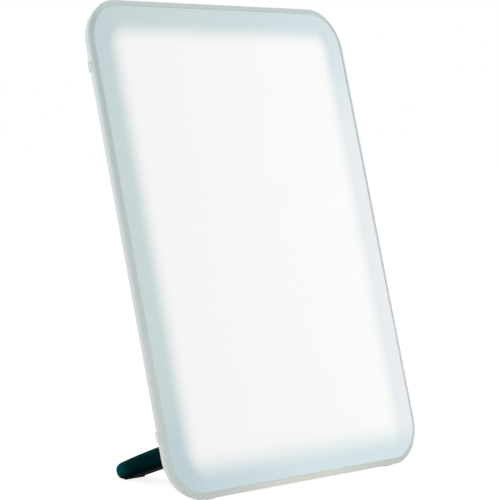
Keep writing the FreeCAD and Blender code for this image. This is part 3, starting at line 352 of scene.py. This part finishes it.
def glow_share(tree, across, height):
    """One where the diffuser is fully lit, easing to nought towards its four edges and round its corners."""
    edges = ((across, -DIFFUSER_WIDTH / 2, 1, GLOW_LEFT),
             (across, DIFFUSER_WIDTH / 2, -1, GLOW_RIGHT),
             (height, -DIFFUSER_HEIGHT / 2, 1, GLOW_BOTTOM),
             (height, DIFFUSER_HEIGHT / 2, -1, GLOW_TOP))
    shade = 0.0
    for part, edge, inward, (begins, full) in edges:
        dark = eased_share(tree, part, edge + inward * full, edge + inward * begins)
        tail = add(tree, "ShaderNodeMath", {0: dark, 1: GLOW_CURVE}, operation="POWER").outputs["Value"]
        shade = add(tree, "ShaderNodeMath", {0: shade, 1: tail}).outputs["Value"]
    lit = add(tree, "ShaderNodeMath", {0: 1.0, 1: shade}, operation="SUBTRACT", use_clamp=True)
    return lit.outputs["Value"]


def border_tone(tree, across, height, rightward):
    """The dimmer border round the glow: painted shade in its left corners, bluer below, and lighter to the
    right with painted light.
    """
    # Painted light: the border is lighter towards the right.
    tone = blend_colours(tree, rightward, linear("#C8D8D9"), linear("#D6E6EA"))
    foot = blend_colours(tree, eased_share(tree, across, *BORDER_FOOT_PALES),
                         linear("#C6D9E1"), linear("#DAEAEE"))
    tone = blend_colours(tree, eased_share(tree, height, *BORDER_FOOT), tone, foot)
    near_corner = add(tree, "ShaderNodeMath", {0: eased_share(tree, height, *BORDER_SHADE_UP),
                                               1: BORDER_SHADE_UPPER,
                                               2: eased_share(tree, height, *BORDER_SHADE_DOWN)},
                      operation="MULTIPLY_ADD")
    shaded = add(tree, "ShaderNodeMath", {0: near_corner.outputs["Value"],
                                          1: eased_share(tree, across, *BORDER_SHADE_LEFT)},
                 operation="MULTIPLY")
    tone = blend_colours(tree, shaded.outputs["Value"], tone, linear("#BDD1D8"))
    # Painted light over the right side, between the corners.
    between_corners = add(tree, "ShaderNodeMath", {0: eased_share(tree, height, *BORDER_LIT_BELOW),
                                                   1: eased_share(tree, height, *BORDER_LIT_ABOVE)},
                          operation="MULTIPLY")
    painted_light_right = add(tree, "ShaderNodeMath", {0: between_corners.outputs["Value"],
                                            1: eased_share(tree, across, *BORDER_LIT_RIGHT)},
                   operation="MULTIPLY")
    return blend_colours(tree, painted_light_right.outputs["Value"], tone, linear("#EFF3F7"))


def opal_acrylic():
    """Cast opal acrylic, lit from its edges: a white field that glows inside a cooler, dimmer border."""
    material, tree, shader, place = start_finish("opal_acrylic_cast")
    panel = upright(tree, place)
    parts = add(tree, "ShaderNodeSeparateXYZ", {"Vector": panel}).outputs
    rightward = add(tree, "ShaderNodeMapRange", {"Value": parts["X"], "From Min": -DIFFUSER_WIDTH / 2,
                                                 "From Max": DIFFUSER_WIDTH / 2}).outputs["Result"]
    border = border_tone(tree, parts["X"], parts["Z"], rightward)
    share = glow_share(tree, parts["X"], parts["Z"])
    set_colour(tree, shader, blend_colours(tree, share, border, linear("#D3D4D3")))
    clouds = add(tree, "ShaderNodeTexNoise", {"Vector": panel, "Scale": 1 / GLOW_CLOUD_SIZE, "Detail": 2.0})
    drift = add(tree, "ShaderNodeMapRange", {"Value": clouds.outputs["Fac"], "To Min": -GLOW_DRIFT,
                                             "To Max": GLOW_DRIFT})
    level = add(tree, "ShaderNodeMapRange", {"Value": rightward, "To Min": GLOW_LEVEL_LEFT,
                                             "To Max": GLOW_LEVEL_RIGHT})
    clouded = add(tree, "ShaderNodeMath", {0: level.outputs["Result"], 1: drift.outputs["Result"]})
    glow = add(tree, "ShaderNodeMath", {0: share, 1: clouded.outputs["Value"]}, operation="MULTIPLY")
    tree.links.new(glow.outputs["Value"], shader.inputs["Emission Strength"])
    shader.inputs["Emission Color"].default_value = linear("#FEFDFC")
    set_sheen_patches(tree, shader, panel, size=20 * MM, roughness=0.31, spread=0.03)
    set_grain(tree, shader, panel, size=0.5 * MM, depth=0.004 * MM)
    shader.inputs["IOR"].default_value = ACRYLIC_IOR
    return material


def past_rim_line(tree, panel):
    """Distance out from the rim's outer edge, also round its corners; below nought on the rim."""
    folded = add(tree, "ShaderNodeVectorMath", {0: panel}, operation="ABSOLUTE").outputs["Vector"]
    corner = (RIM_HALF_WIDTH - RIM_CORNER, 0, RIM_HALF_HEIGHT - RIM_CORNER)
    beyond = add(tree, "ShaderNodeVectorMath", {0: folded, 1: corner}, operation="SUBTRACT").outputs["Vector"]
    level = add(tree, "ShaderNodeVectorMath", {0: beyond, 1: (1, 0, 1)}, operation="MULTIPLY")
    outer = add(tree, "ShaderNodeVectorMath", {0: level.outputs["Vector"], 1: (0, 0, 0)}, operation="MAXIMUM")
    reach = add(tree, "ShaderNodeVectorMath", {0: outer.outputs["Vector"]}, operation="LENGTH")
    past = add(tree, "ShaderNodeMath", {0: reach.outputs["Value"], 1: RIM_CORNER}, operation="SUBTRACT")
    return past.outputs["Value"]


def satin_rim():
    """ABS from a satin tool: pale grey-green, with painted shade deepening up it, a painted reflection of the
    floor along its foot, painted light along its top and a painted highlight along its outer edge.
    """
    material, tree, shader, place = start_finish("abs_rim_satin_moulded")
    panel = upright(tree, place)
    parts = add(tree, "ShaderNodeSeparateXYZ", {"Vector": panel}).outputs
    height = parts["Z"]
    half = RIM_HALF_HEIGHT
    # Painted shade: the tone deepens up the rim.
    rising = add(tree, "ShaderNodeMapRange", {"Value": height, "From Min": RIM_SHADE_DEEPENS[0] - half,
                                              "From Max": RIM_SHADE_DEEPENS[1] - half}).outputs["Result"]
    tone = blend_colours(tree, rising, linear("#C5CDC9"), linear("#B2C1C1"))
    aside = add(tree, "ShaderNodeMath", {0: parts["X"]}, operation="ABSOLUTE").outputs["Value"]
    # Painted reflection of the floor: the middle of the rim's foot is paler.
    low = eased_share(tree, height, RIM_LIT_FOOT[0] - half, RIM_LIT_FOOT[1] - half)
    foot = add(tree, "ShaderNodeMath", {0: low, 1: eased_share(tree, aside, *RIM_LIT_FOOT_REACH)},
               operation="MULTIPLY").outputs["Value"]
    tone = blend_colours(tree, foot, tone, linear("#DCDFD4"))
    # Painted light: paler along the top edge.
    top = eased_share(tree, height, half - RIM_LIT_TOP[0], half - RIM_LIT_TOP[1])
    tone = blend_colours(tree, top, tone, linear("#C8D4D3"))
    # Painted highlight along the outer edge, above the foot.
    outermost = eased_share(tree, past_rim_line(tree, panel), -RIM_EDGE_HIGHLIGHT[0], -RIM_EDGE_HIGHLIGHT[1])
    above = add(tree, "ShaderNodeMath", {0: 1.0, 1: low}, operation="SUBTRACT").outputs["Value"]
    edge_highlight = add(tree, "ShaderNodeMath", {0: outermost, 1: above}, operation="MULTIPLY").outputs["Value"]
    tone = blend_colours(tree, edge_highlight, tone, linear("#CAD4D5"))
    patches = add(tree, "ShaderNodeTexNoise", {"Vector": place, "Scale": 1 / COLOUR_PATCH, "Detail": 3.0})
    cloud = add(tree, "ShaderNodeMapRange", {"Value": patches.outputs["Fac"], "To Max": RIM_CLOUD})
    set_colour(tree, shader, blend_colours(tree, cloud.outputs["Result"], tone, linear("#B4BFBC")))
    set_moulded_surface(tree, shader, place, SHEEN_PATCH, roughness=0.42, grain=0.35 * MM, depth=0.010 * MM)
    return material


def grained_shell():
    """ABS from a spark-eroded tool: cool white with a fine matt grain, and painted shade that greys it
    towards its foot.
    """
    material, tree, shader, place = start_finish("abs_shell_moulded")
    tone = patchy_colour(tree, place, COLOUR_PATCH, "#EAF3F5", "#E6EFF1")
    height = add(tree, "ShaderNodeSeparateXYZ", {"Vector": upright(tree, place)}).outputs["Z"]
    # Painted shade, greyer towards the foot.
    painted_shade = eased_share(tree, height, *SHELL_SHADE)
    set_colour(tree, shader, blend_colours(tree, painted_shade, tone, linear("#E2E6E6")))
    set_moulded_surface(tree, shader, place, SHEEN_PATCH, roughness=0.50, grain=0.45 * MM, depth=0.020 * MM)
    return material


def soft_touch_nylon():
    """Glass-filled nylon under a soft-touch lacquer: near black, hardly any shine, with painted light on its
    upper side, a teal painted highlight at its tip and painted shade on its underside.
    """
    material, tree, shader, place = start_finish("nylon_leg_soft_touch")
    tone = patchy_colour(tree, place, 14 * MM, "#001D21", "#00262A")
    along = add(tree, "ShaderNodeMapping", {"Vector": place, "Location": LEG_PIVOT,
                                            "Rotation": (-LEG_SLOPE, 0, 0)}, vector_type="TEXTURE")
    leg = add(tree, "ShaderNodeSeparateXYZ", {"Vector": along.outputs["Vector"]}).outputs
    # Painted light on the upper side, a teal painted highlight at the tip, painted shade on the underside.
    for part, reach, colour in (("Z", LEG_LIT_UPPER_SIDE, "#002E31"),
                                ("Y", LEG_TIP_HIGHLIGHT, "#004E51"),
                                ("Z", LEG_SHADED_UNDERSIDE, "#001013")):
        tone = blend_colours(tree, eased_share(tree, leg[part], *reach), tone, linear(colour))
    set_colour(tree, shader, tone)
    set_moulded_surface(tree, shader, place, SHEEN_PATCH, roughness=0.80, grain=0.4 * MM, depth=0.012 * MM)
    shader.inputs["Specular IOR Level"].default_value = 0.01
    shader.inputs["Specular Tint"].default_value = linear("#00B8BC")
    return material


def clear_guide():
    """Clear cast acrylic with a printed pattern of white dots that lets the light out of it."""
    material, tree, shader, place = start_finish("acrylic_guide_cast")
    # The printed dots are about 0.6 mm apart, drawn coarser so that they show.
    dots = add(tree, "ShaderNodeTexVoronoi", {"Vector": upright(tree, place), "Scale": 1 / DOT_SPACING,
                                              "Randomness": 0.1}).outputs["Distance"]
    ink = add(tree, "ShaderNodeMath", {0: dots, 1: DOT_RADIUS}, operation="LESS_THAN").outputs["Value"]
    clear = add(tree, "ShaderNodeMath", {0: 1.0, 1: ink}, operation="SUBTRACT").outputs["Value"]
    set_colour(tree, shader, blend_colours(tree, ink, linear("#EAF2F2"), linear("#FBFBFA")))
    tree.links.new(clear, shader.inputs["Transmission Weight"])
    set_sheen_patches(tree, shader, place, size=12 * MM, roughness=0.08, spread=0.03)
    shader.inputs["IOR"].default_value = ACRYLIC_IOR
    return material


def prism_film():
    """Clear polyester film pressed into fine upright ridges, which give it a silky sheen."""
    material, tree, shader, place = start_finish("polyester_film_ridged")
    # The ridges are 0.05 mm apart, drawn coarser so that they show. At scale 1, waves are pi / 10 apart.
    ridges = add(tree, "ShaderNodeTexWave", {"Vector": upright(tree, place),
                                             "Scale": math.pi / 10 / RIDGE_SPACING},
                 bands_direction="X", wave_profile="TRI")
    set_colour(tree, shader, patchy_colour(tree, place, 30 * MM, "#E4EAEC", "#DDE5E8"))
    press_in(tree, shader, ridges.outputs["Fac"], RIDGE_DEPTH)
    shader.inputs["Transmission Weight"].default_value = 0.7
    shader.inputs["Roughness"].default_value = 0.2
    shader.inputs["IOR"].default_value = POLYESTER_IOR
    return material


def phosphor_gel():
    """Yellow phosphor set in clear silicone: a granular, waxy fill."""
    material, tree, shader, place = start_finish("silicone_phosphor_filled")
    set_colour(tree, shader, patchy_colour(tree, place, 0.15 * MM, "#F3D868", "#F7E596"))
    set_grain(tree, shader, place, size=0.12 * MM, depth=0.01 * MM)
    shader.inputs["Roughness"].default_value = 0.35
    shader.inputs["IOR"].default_value = SILICONE_IOR
    shader.inputs["Emission Color"].default_value = linear("#FFF4C8")
    shader.inputs["Emission Strength"].default_value = 0.5
    return material


def make_finishes():
    """Every finish by the record's slot name."""
    return {
        "opal_acrylic": opal_acrylic(),
        "rim_plastic": satin_rim(),
        "shell_plastic": grained_shell(),
        "leg_plastic": soft_touch_nylon(),
        # Silicone rubber: matt, faintly lavender grey.
        "foot_rubber": moulded("silicone_foot_moulded", "#ECECF0", "#E6E6EA", roughness=0.62,
                               grain=0.30 * MM, depth=0.010 * MM, ior=SILICONE_IOR),
        # Natural rubber with carbon black: dead matt, almost no reflection.
        "pad_rubber": moulded("rubber_pad_moulded", "#020708", "#04090A", roughness=0.75,
                              grain=0.40 * MM, depth=0.020 * MM, ior=1.30),
        # ABS from a polished tool: a tone darker than the shell, so that the button is found.
        "button_plastic": moulded("abs_button_moulded", "#B4BEBC", "#ACB7B5", roughness=0.36,
                                  grain=0.30 * MM, depth=0.008 * MM),
        # Nylon: black, lightly grained, with a soft sheen.
        "black_nylon": moulded("nylon_black_moulded", "#121314", "#17181A", roughness=0.45,
                               grain=0.35 * MM, depth=0.012 * MM),
        # Zinc plate on cold-headed steel: bright, bluish, slightly clouded.
        "zinc_steel": worked_metal("steel_zinc_plated", "#C9CBCD", "#B4B9C0", roughness=0.30,
                                   mark=0.5 * MM, depth=0.006 * MM),
        # Centreless-ground rod: fine rings round the pin.
        "pin_steel": worked_metal("steel_ground", "#B9BBBE", "#AFB1B5", roughness=0.24,
                                  mark=0.4 * MM, depth=0.003 * MM, stretch=(6, 1, 1)),
        # Phosphated spring steel: dark, dry and crystalline.
        "spring_steel": worked_metal("steel_spring_phosphated", "#5A5B5E", "#47484B", roughness=0.55,
                                     mark=0.3 * MM, depth=0.010 * MM),
        # Nylon without pigment: ivory and waxy.
        "washer_nylon": moulded("nylon_washer_moulded", "#DDDACD", "#D5D1C2", roughness=0.40,
                                grain=0.30 * MM, depth=0.006 * MM),
        "plug_nylon": moulded("nylon_plug_moulded", "#EDEADB", "#E6E2D0", roughness=0.42,
                              grain=0.30 * MM, depth=0.006 * MM),
        # Foam tape with carbon black, and white polyethylene foam.
        "adhesive_foam": foamed("foam_tape_die_cut", "#232325", "#2F2F31", cell=0.25 * MM, depth=0.05 * MM),
        "white_foam": foamed("foam_seal_die_cut", "#F0F0EE", "#E2E2E0", cell=0.30 * MM, depth=0.06 * MM),
        "clear_film": prism_film(),
        "clear_acrylic": clear_guide(),
        # Voided polyester film: paper white, faintly silky.
        "white_film": moulded("polyester_film_voided", "#F4F4F3", "#EFEFEF", roughness=0.48,
                              grain=0.80 * MM, depth=0.006 * MM, ior=POLYESTER_IOR),
        # Rolled sheet in mill finish: long fine lines up the panel.
        "tray_aluminium": worked_metal("aluminium_sheet_rolled", "#D2D4D6", "#C3C6C9", roughness=0.34,
                                       mark=0.6 * MM, depth=0.006 * MM, stretch=(1, 1, 0.04)),
        # Solder mask over copper tracks: white for the light strips, green for the other boards.
        "white_circuit_board": solder_masked("board_white_masked", "#F0F0EC", "#DCDCD4", track=0.5 * MM),
        "green_circuit_board": solder_masked("board_green_masked", "#14532E", "#2C7A48", track=0.6 * MM),
        "led_phosphor": phosphor_gel(),
        # Moulding compound: black, sandblasted look.
        "black_epoxy": moulded("epoxy_chip_moulded", "#0F0F10", "#151516", roughness=0.60,
                               grain=0.15 * MM, depth=0.010 * MM, ior=EPOXY_IOR, patch=3 * MM),
        # Sintered ferrite: charcoal grey, slightly sparkling grains.
        "ferrite": moulded("ferrite_sintered", "#2C2C2F", "#38383B", roughness=0.50,
                           grain=0.20 * MM, depth=0.030 * MM, ior=2.3, patch=2 * MM),
        # Deep-drawn cans: fine lines along the draw.
        "can_aluminium": worked_metal("aluminium_can_drawn", "#CDD0D3", "#BFC2C6", roughness=0.28,
                                      mark=0.3 * MM, depth=0.004 * MM, stretch=(1, 0.1, 1)),
        # Fired ceramic: brown, dense and faintly speckled.
        "ceramic": moulded("ceramic_chip_fired", "#8C6B4D", "#9A7857", roughness=0.40,
                           grain=0.12 * MM, depth=0.006 * MM, ior=1.7, patch=0.5 * MM),
        # Extruded PVC: red, smooth, a soft highlight along the wire.
        "wire_jacket": moulded("pvc_wire_extruded", "#B0201A", "#A61B16", roughness=0.35,
                               grain=0.50 * MM, depth=0.004 * MM, patch=6 * MM),
        # Brass under a thin gold flash.
        "contact_brass": worked_metal("brass_gold_flashed", "#D9BC72", "#CDAE62", roughness=0.25,
                                      mark=0.3 * MM, depth=0.003 * MM),
    }


FINISHES = make_finishes()

# Cup of a light-emitting package: white, glossy, reflecting plastic.
LED_CUP = moulded("polyamide_cup_moulded", "#F6F6F3", "#F1F1EE", roughness=0.30,
                  grain=0.10 * MM, depth=0.003 * MM)


def dress_nodes():
    """Gives each construction piece the finish of its slot."""
    for part in frame["record"]["subparts"]:
        for slot in frame["nodes"][part["node"]].material_slots:
            slot.material = FINISHES[part["material_slot"]]


# ---- Small hardware that repeats ---------------------------------------------------------------

def separate_solids(node):
    """The corner points of each separate solid of a construction node."""
    work = bmesh.new()
    work.from_mesh(frame["nodes"][node].data)
    bmesh.ops.remove_doubles(work, verts=work.verts, dist=MERGE_DISTANCE)
    waiting = set(work.verts)
    solids = []
    while waiting:
        reached = [waiting.pop()]
        for vertex in reached:
            for edge in vertex.link_edges:
                other = edge.other_vert(vertex)
                if other in waiting:
                    waiting.remove(other)
                    reached.append(other)
        solids.append([vertex.co.copy() for vertex in reached])
    work.free()
    return solids


def middle_along(points, direction):
    """Half way between the least and the greatest reach of the points in a direction."""
    reaches = [point.dot(direction) for point in points]
    return (min(reaches) + max(reaches)) / 2


def solid_middle(points):
    """Middle of a solid that lies square to the panel."""
    return sum((direction * middle_along(points, direction)
                for direction in (PANEL_ACROSS, PANEL_BACK, PANEL_UP)), Vector())


def solid_middles(node):
    """Middle of each solid of a node, put in order by place, because the solids come in no fixed order."""
    middles = [solid_middle(points) for points in separate_solids(node)]
    return sorted(middles, key=lambda middle: [round(part / ORDER_STEP) for part in middle])


def place_points(name, places, facings):
    """Loose points, each with the direction that its piece faces."""
    mesh = bpy.data.meshes.new(name)
    mesh.from_pydata(places, [], [])
    facing = mesh.attributes.new("facing", "FLOAT_VECTOR", "POINT")
    for index, direction in enumerate(facings):
        facing.data[index].vector = direction
    return put_in_scene(name, mesh)


def start_pattern(name, sizes):
    """Geometry tree with its points and its named sizes as inputs, and its result as output."""
    tree = bpy.data.node_groups.new(name, "GeometryNodeTree")
    tree.interface.new_socket(name="Points", in_out="INPUT", socket_type="NodeSocketGeometry")
    for size in sizes:
        tree.interface.new_socket(name=size, in_out="INPUT", socket_type="NodeSocketFloat")
    tree.interface.new_socket(name="Pieces", in_out="OUTPUT", socket_type="NodeSocketGeometry")
    return tree, add(tree, "NodeGroupInput").outputs


def grow_pieces(holder, tree, sizes, node):
    """Runs the pattern on its points and keeps the result as a plain mesh in place of the node."""
    pattern = holder.modifiers.new("pattern", "NODES")
    pattern.node_group = tree
    for socket in tree.interface.items_tree:
        if socket.name in sizes:
            pattern[socket.identifier] = sizes[socket.name]
    grown = bpy.data.meshes.new_from_object(holder.evaluated_get(bpy.context.evaluated_depsgraph_get()))
    grown.shade_smooth()
    grown.set_sharp_from_angle(angle=SHARP_ANGLE)
    grown.name = holder.name
    holder.modifiers.remove(pattern)
    holder.data = grown
    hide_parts(node)
    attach(holder, "lamp")


def block(tree, length, width, height):
    """Box of the given sizes about its middle."""
    size = add(tree, "ShaderNodeCombineXYZ", {"X": length, "Y": width, "Z": height})
    return add(tree, "GeometryNodeMeshCube", {"Size": size.outputs["Vector"]}).outputs["Mesh"]


def raised(tree, mesh, height):
    """The mesh moved up by the height, or down by one below nought."""
    shift = add(tree, "ShaderNodeCombineXYZ", {"Z": height})
    moved = add(tree, "GeometryNodeTransform", {"Geometry": mesh, "Translation": shift.outputs["Vector"]})
    return moved.outputs["Geometry"]


def faced_outward(tree):
    """Rotation that turns a piece's own Z to the direction that its point faces."""
    facing = add(tree, "GeometryNodeInputNamedAttribute", {"Name": "facing"}, data_type="FLOAT_VECTOR")
    turned = add(tree, "FunctionNodeAlignRotationToVector", {"Vector": facing.outputs["Attribute"]}, axis="Z")
    return turned.outputs["Rotation"]


def repeated(tree, points, piece, rotation):
    """The piece once on every point, as real meshes."""
    spread = add(tree, "GeometryNodeInstanceOnPoints", {"Points": points, "Instance": piece,
                                                        "Rotation": rotation})
    real = add(tree, "GeometryNodeRealizeInstances", {"Geometry": spread.outputs["Instances"]})
    return real.outputs["Geometry"]


def screw_pattern():
    """Countersunk screws with a cross recess, each turned as it happened to stop."""
    tree, given = start_pattern("screw_pattern", SCREW_SIZES)
    rim = add(tree, "GeometryNodeMeshCylinder", {"Vertices": SCREW_HEAD_SIDES, "Radius": given["Head Radius"],
                                                 "Depth": given["Rim Height"]})
    rim_middle = add(tree, "ShaderNodeMath", {0: given["Rim Height"], 1: -0.5}, operation="MULTIPLY")
    cone_height = add(tree, "ShaderNodeMath", {0: given["Head Height"], 1: given["Rim Height"]},
                      operation="SUBTRACT")
    cone = add(tree, "GeometryNodeMeshCone", {"Vertices": SCREW_HEAD_SIDES,
                                              "Radius Top": given["Head Radius"],
                                              "Radius Bottom": given["Shank Radius"],
                                              "Depth": cone_height.outputs["Value"]})
    cone_foot = add(tree, "ShaderNodeMath", {0: given["Head Height"], 1: -1.0}, operation="MULTIPLY")
    shank_length = add(tree, "ShaderNodeMath", {0: given["Length"], 1: given["Head Height"]},
                       operation="SUBTRACT")
    shank = add(tree, "GeometryNodeMeshCylinder", {"Vertices": SCREW_SHANK_SIDES,
                                                   "Radius": given["Shank Radius"],
                                                   "Depth": shank_length.outputs["Value"]})
    both = add(tree, "ShaderNodeMath", {0: given["Length"], 1: given["Head Height"]})
    shank_middle = add(tree, "ShaderNodeMath", {0: both.outputs["Value"], 1: -0.5}, operation="MULTIPLY")
    body = add(tree, "GeometryNodeMeshBoolean", operation="UNION")
    for piece, height in ((rim, rim_middle), (cone, cone_foot), (shank, shank_middle)):
        tree.links.new(raised(tree, piece.outputs["Mesh"], height.outputs["Value"]), body.inputs["Mesh 2"])
    twice_deep = add(tree, "ShaderNodeMath", {0: given["Recess Depth"], 1: 2.0}, operation="MULTIPLY")
    cut = add(tree, "GeometryNodeMeshBoolean", {"Mesh 1": body.outputs["Mesh"]}, operation="DIFFERENCE")
    for along, across in (("Recess Length", "Recess Width"), ("Recess Width", "Recess Length")):
        slot = block(tree, given[along], given[across], twice_deep.outputs["Value"])
        tree.links.new(slot, cut.inputs["Mesh 2"])
    stop = add(tree, "FunctionNodeRandomValue", {"Max": SCREW_TURN_MOST, "Seed": SCREW_TURN_SEED},
               data_type="FLOAT")
    turn = add(tree, "FunctionNodeAxisAngleToRotation", {"Axis": (0, 0, 1),
                                                         "Angle": stop.outputs[RANDOM_FLOAT]})
    turned = add(tree, "FunctionNodeRotateRotation", {"Rotation": faced_outward(tree),
                                                      "Rotate By": turn.outputs["Rotation"]},
                 rotation_space="LOCAL")
    screws = repeated(tree, given["Points"], cut.outputs["Mesh"], turned.outputs["Rotation"])
    plated = add(tree, "GeometryNodeSetMaterial", {"Geometry": screws, "Material": FINISHES["zinc_steel"]})
    add(tree, "NodeGroupOutput", {"Pieces": plated.outputs["Geometry"]})
    return tree


def drive_shell_screws():
    """Screws with a cross recess in place of the plain ones, their heads on the same faces."""
    head_rise = PANEL_BACK * SCREW_SIZES["Length"] / 2
    places = [middle + head_rise for middle in solid_middles("shell_screws")]
    holder = place_points("shell_screw_set", places, [PANEL_BACK] * len(places))
    grow_pieces(holder, screw_pattern(), SCREW_SIZES, "shell_screws")


def led_pattern():
    """White cups along the strips, each with a sunk window of phosphor that faces the light guide."""
    tree, given = start_pattern("led_pattern", LED_SIZES)
    walls = add(tree, "ShaderNodeMath", {0: given["Wall"], 1: 2.0}, operation="MULTIPLY").outputs["Value"]
    window_length = add(tree, "ShaderNodeMath", {0: given["Length"], 1: walls}, operation="SUBTRACT")
    window_depth = add(tree, "ShaderNodeMath", {0: given["Depth"], 1: walls}, operation="SUBTRACT")
    window = (window_length.outputs["Value"], window_depth.outputs["Value"])
    hollow = raised(tree, block(tree, *window, given["Height"]), given["Wall"])
    whole = block(tree, given["Length"], given["Depth"], given["Height"])
    cup = add(tree, "GeometryNodeMeshBoolean", {"Mesh 1": whole}, operation="DIFFERENCE")
    tree.links.new(hollow, cup.inputs["Mesh 2"])
    cup = add(tree, "GeometryNodeSetMaterial", {"Geometry": cup.outputs["Mesh"], "Material": LED_CUP})
    empty = add(tree, "ShaderNodeMath", {0: given["Wall"], 1: given["Window Sunk"]}).outputs["Value"]
    fill_height = add(tree, "ShaderNodeMath", {0: given["Height"], 1: empty}, operation="SUBTRACT")
    rise = add(tree, "ShaderNodeMath", {0: given["Wall"], 1: given["Window Sunk"]}, operation="SUBTRACT")
    half_rise = add(tree, "ShaderNodeMath", {0: rise.outputs["Value"], 1: 0.5}, operation="MULTIPLY")
    fill = raised(tree, block(tree, *window, fill_height.outputs["Value"]), half_rise.outputs["Value"])
    fill = add(tree, "GeometryNodeSetMaterial", {"Geometry": fill, "Material": FINISHES["led_phosphor"]})
    package = add(tree, "GeometryNodeJoinGeometry")
    for piece in (cup, fill):
        tree.links.new(piece.outputs["Geometry"], package.inputs["Geometry"])
    lengthwise = add(tree, "FunctionNodeAlignRotationToVector",
                     {"Rotation": faced_outward(tree), "Vector": PANEL_UP}, axis="X", pivot_axis="Z")
    packages = repeated(tree, given["Points"], package.outputs["Geometry"], lengthwise.outputs["Rotation"])
    add(tree, "NodeGroupOutput", {"Pieces": packages})
    return tree


def place_leds():
    """Packages with cup and window in place of the plain ones, facing the light guide between the strips."""
    places = solid_middles("led_packages")
    inward = [PANEL_ACROSS if place.x < DIFFUSER_MIDDLE.x else -PANEL_ACROSS for place in places]
    holder = place_points("led_package_set", places, inward)
    grow_pieces(holder, led_pattern(), LED_SIZES, "led_packages")


# ---- Stage: floor, light, camera ---------------------------------------------------------------

def seen_by_eye_or_mirror(tree):
    """One for a ray from the viewer, a reflection or a view through glass, nought for scattered light."""
    rays = add(tree, "ShaderNodeLightPath").outputs
    mirrored = add(tree, "ShaderNodeMath", {0: rays["Is Glossy Ray"], 1: rays["Is Transmission Ray"]},
                   operation="MAXIMUM")
    seen = add(tree, "ShaderNodeMath", {0: rays["Is Camera Ray"], 1: mirrored.outputs["Value"]},
               operation="MAXIMUM")
    return seen.outputs["Value"]


def floor_finish():
    """Matt paper that is seen as white, with the object's shadow kept on it."""
    material = bpy.data.materials.new("paper_floor_matt")
    tree = cleared_nodes(material)
    paper = add(tree, "ShaderNodeBsdfDiffuse", {"Color": linear("#F2F2F2")})
    white = add(tree, "ShaderNodeEmission", {"Color": WHITE, "Strength": FLOOR_WHITE_STRENGTH})
    share = add(tree, "ShaderNodeMath", {0: seen_by_eye_or_mirror(tree), 1: FLOOR_SEEN_WHITE},
                operation="MULTIPLY")
    mix = add(tree, "ShaderNodeMixShader", {0: share.outputs["Value"], 1: paper.outputs["BSDF"],
                                            2: white.outputs["Emission"]})
    add(tree, "ShaderNodeOutputMaterial", {"Surface": mix.outputs["Shader"]})
    return material


def lay_floor():
    """A plain square of paper under the lamp."""
    half = FLOOR_HALF_WIDTH
    corners = [(-half, -half, 0), (half, -half, 0), (half, half, 0), (-half, half, 0)]
    mesh = bpy.data.meshes.new("floor")
    mesh.from_pydata(corners, [], [(0, 1, 2, 3)])
    mesh.materials.append(floor_finish())
    put_in_scene("floor", mesh)


def light_world():
    """Even soft light, and white wherever the viewer or a reflection looks past the floor."""
    world = bpy.data.worlds.new("studio")
    bpy.context.scene.world = world
    tree = cleared_nodes(world)
    soft = add(tree, "ShaderNodeBackground", {"Color": WHITE, "Strength": WORLD_SOFT_STRENGTH})
    white = add(tree, "ShaderNodeBackground", {"Color": WHITE, "Strength": WORLD_SEEN_STRENGTH})
    mix = add(tree, "ShaderNodeMixShader", {0: seen_by_eye_or_mirror(tree), 1: soft.outputs["Background"],
                                            2: white.outputs["Background"]})
    add(tree, "ShaderNodeOutputWorld", {"Surface": mix.outputs["Shader"]})


def hang_softbox(name, place, side, power):
    """Square area light that faces the middle of the lamp."""
    light = bpy.data.lights.new(name, "AREA")
    light.shape = "SQUARE"
    light.size = side
    light.energy = power
    box = put_in_scene(name, light)
    box.location = place
    box.rotation_euler = (DIFFUSER_MIDDLE - place).to_track_quat("-Z", "Y").to_euler()


def set_camera():
    """Camera in front of the lamp and to its left, above its middle and looking a little down."""
    camera = bpy.data.cameras.new("camera")
    camera.sensor_width = SENSOR_WIDTH_MM
    camera.lens = SENSOR_WIDTH_MM * FOCAL_PIXELS / IMAGE_SIDE
    camera.clip_start = CAMERA_NEAR
    camera.clip_end = CAMERA_FAR
    holder = put_in_scene("camera", camera)
    holder.location = CAMERA_PLACE
    holder.rotation_euler = (math.pi / 2 + CAMERA_TILT, 0, CAMERA_AZIMUTH)
    bpy.context.scene.camera = holder


dress_nodes()
drive_shell_screws()
place_leds()
lay_floor()
light_world()
for softbox, (place, side, power) in SOFTBOXES.items():
    hang_softbox(softbox, place, side, power)
set_camera()
bpy.context.scene.view_settings.view_transform = "Standard"
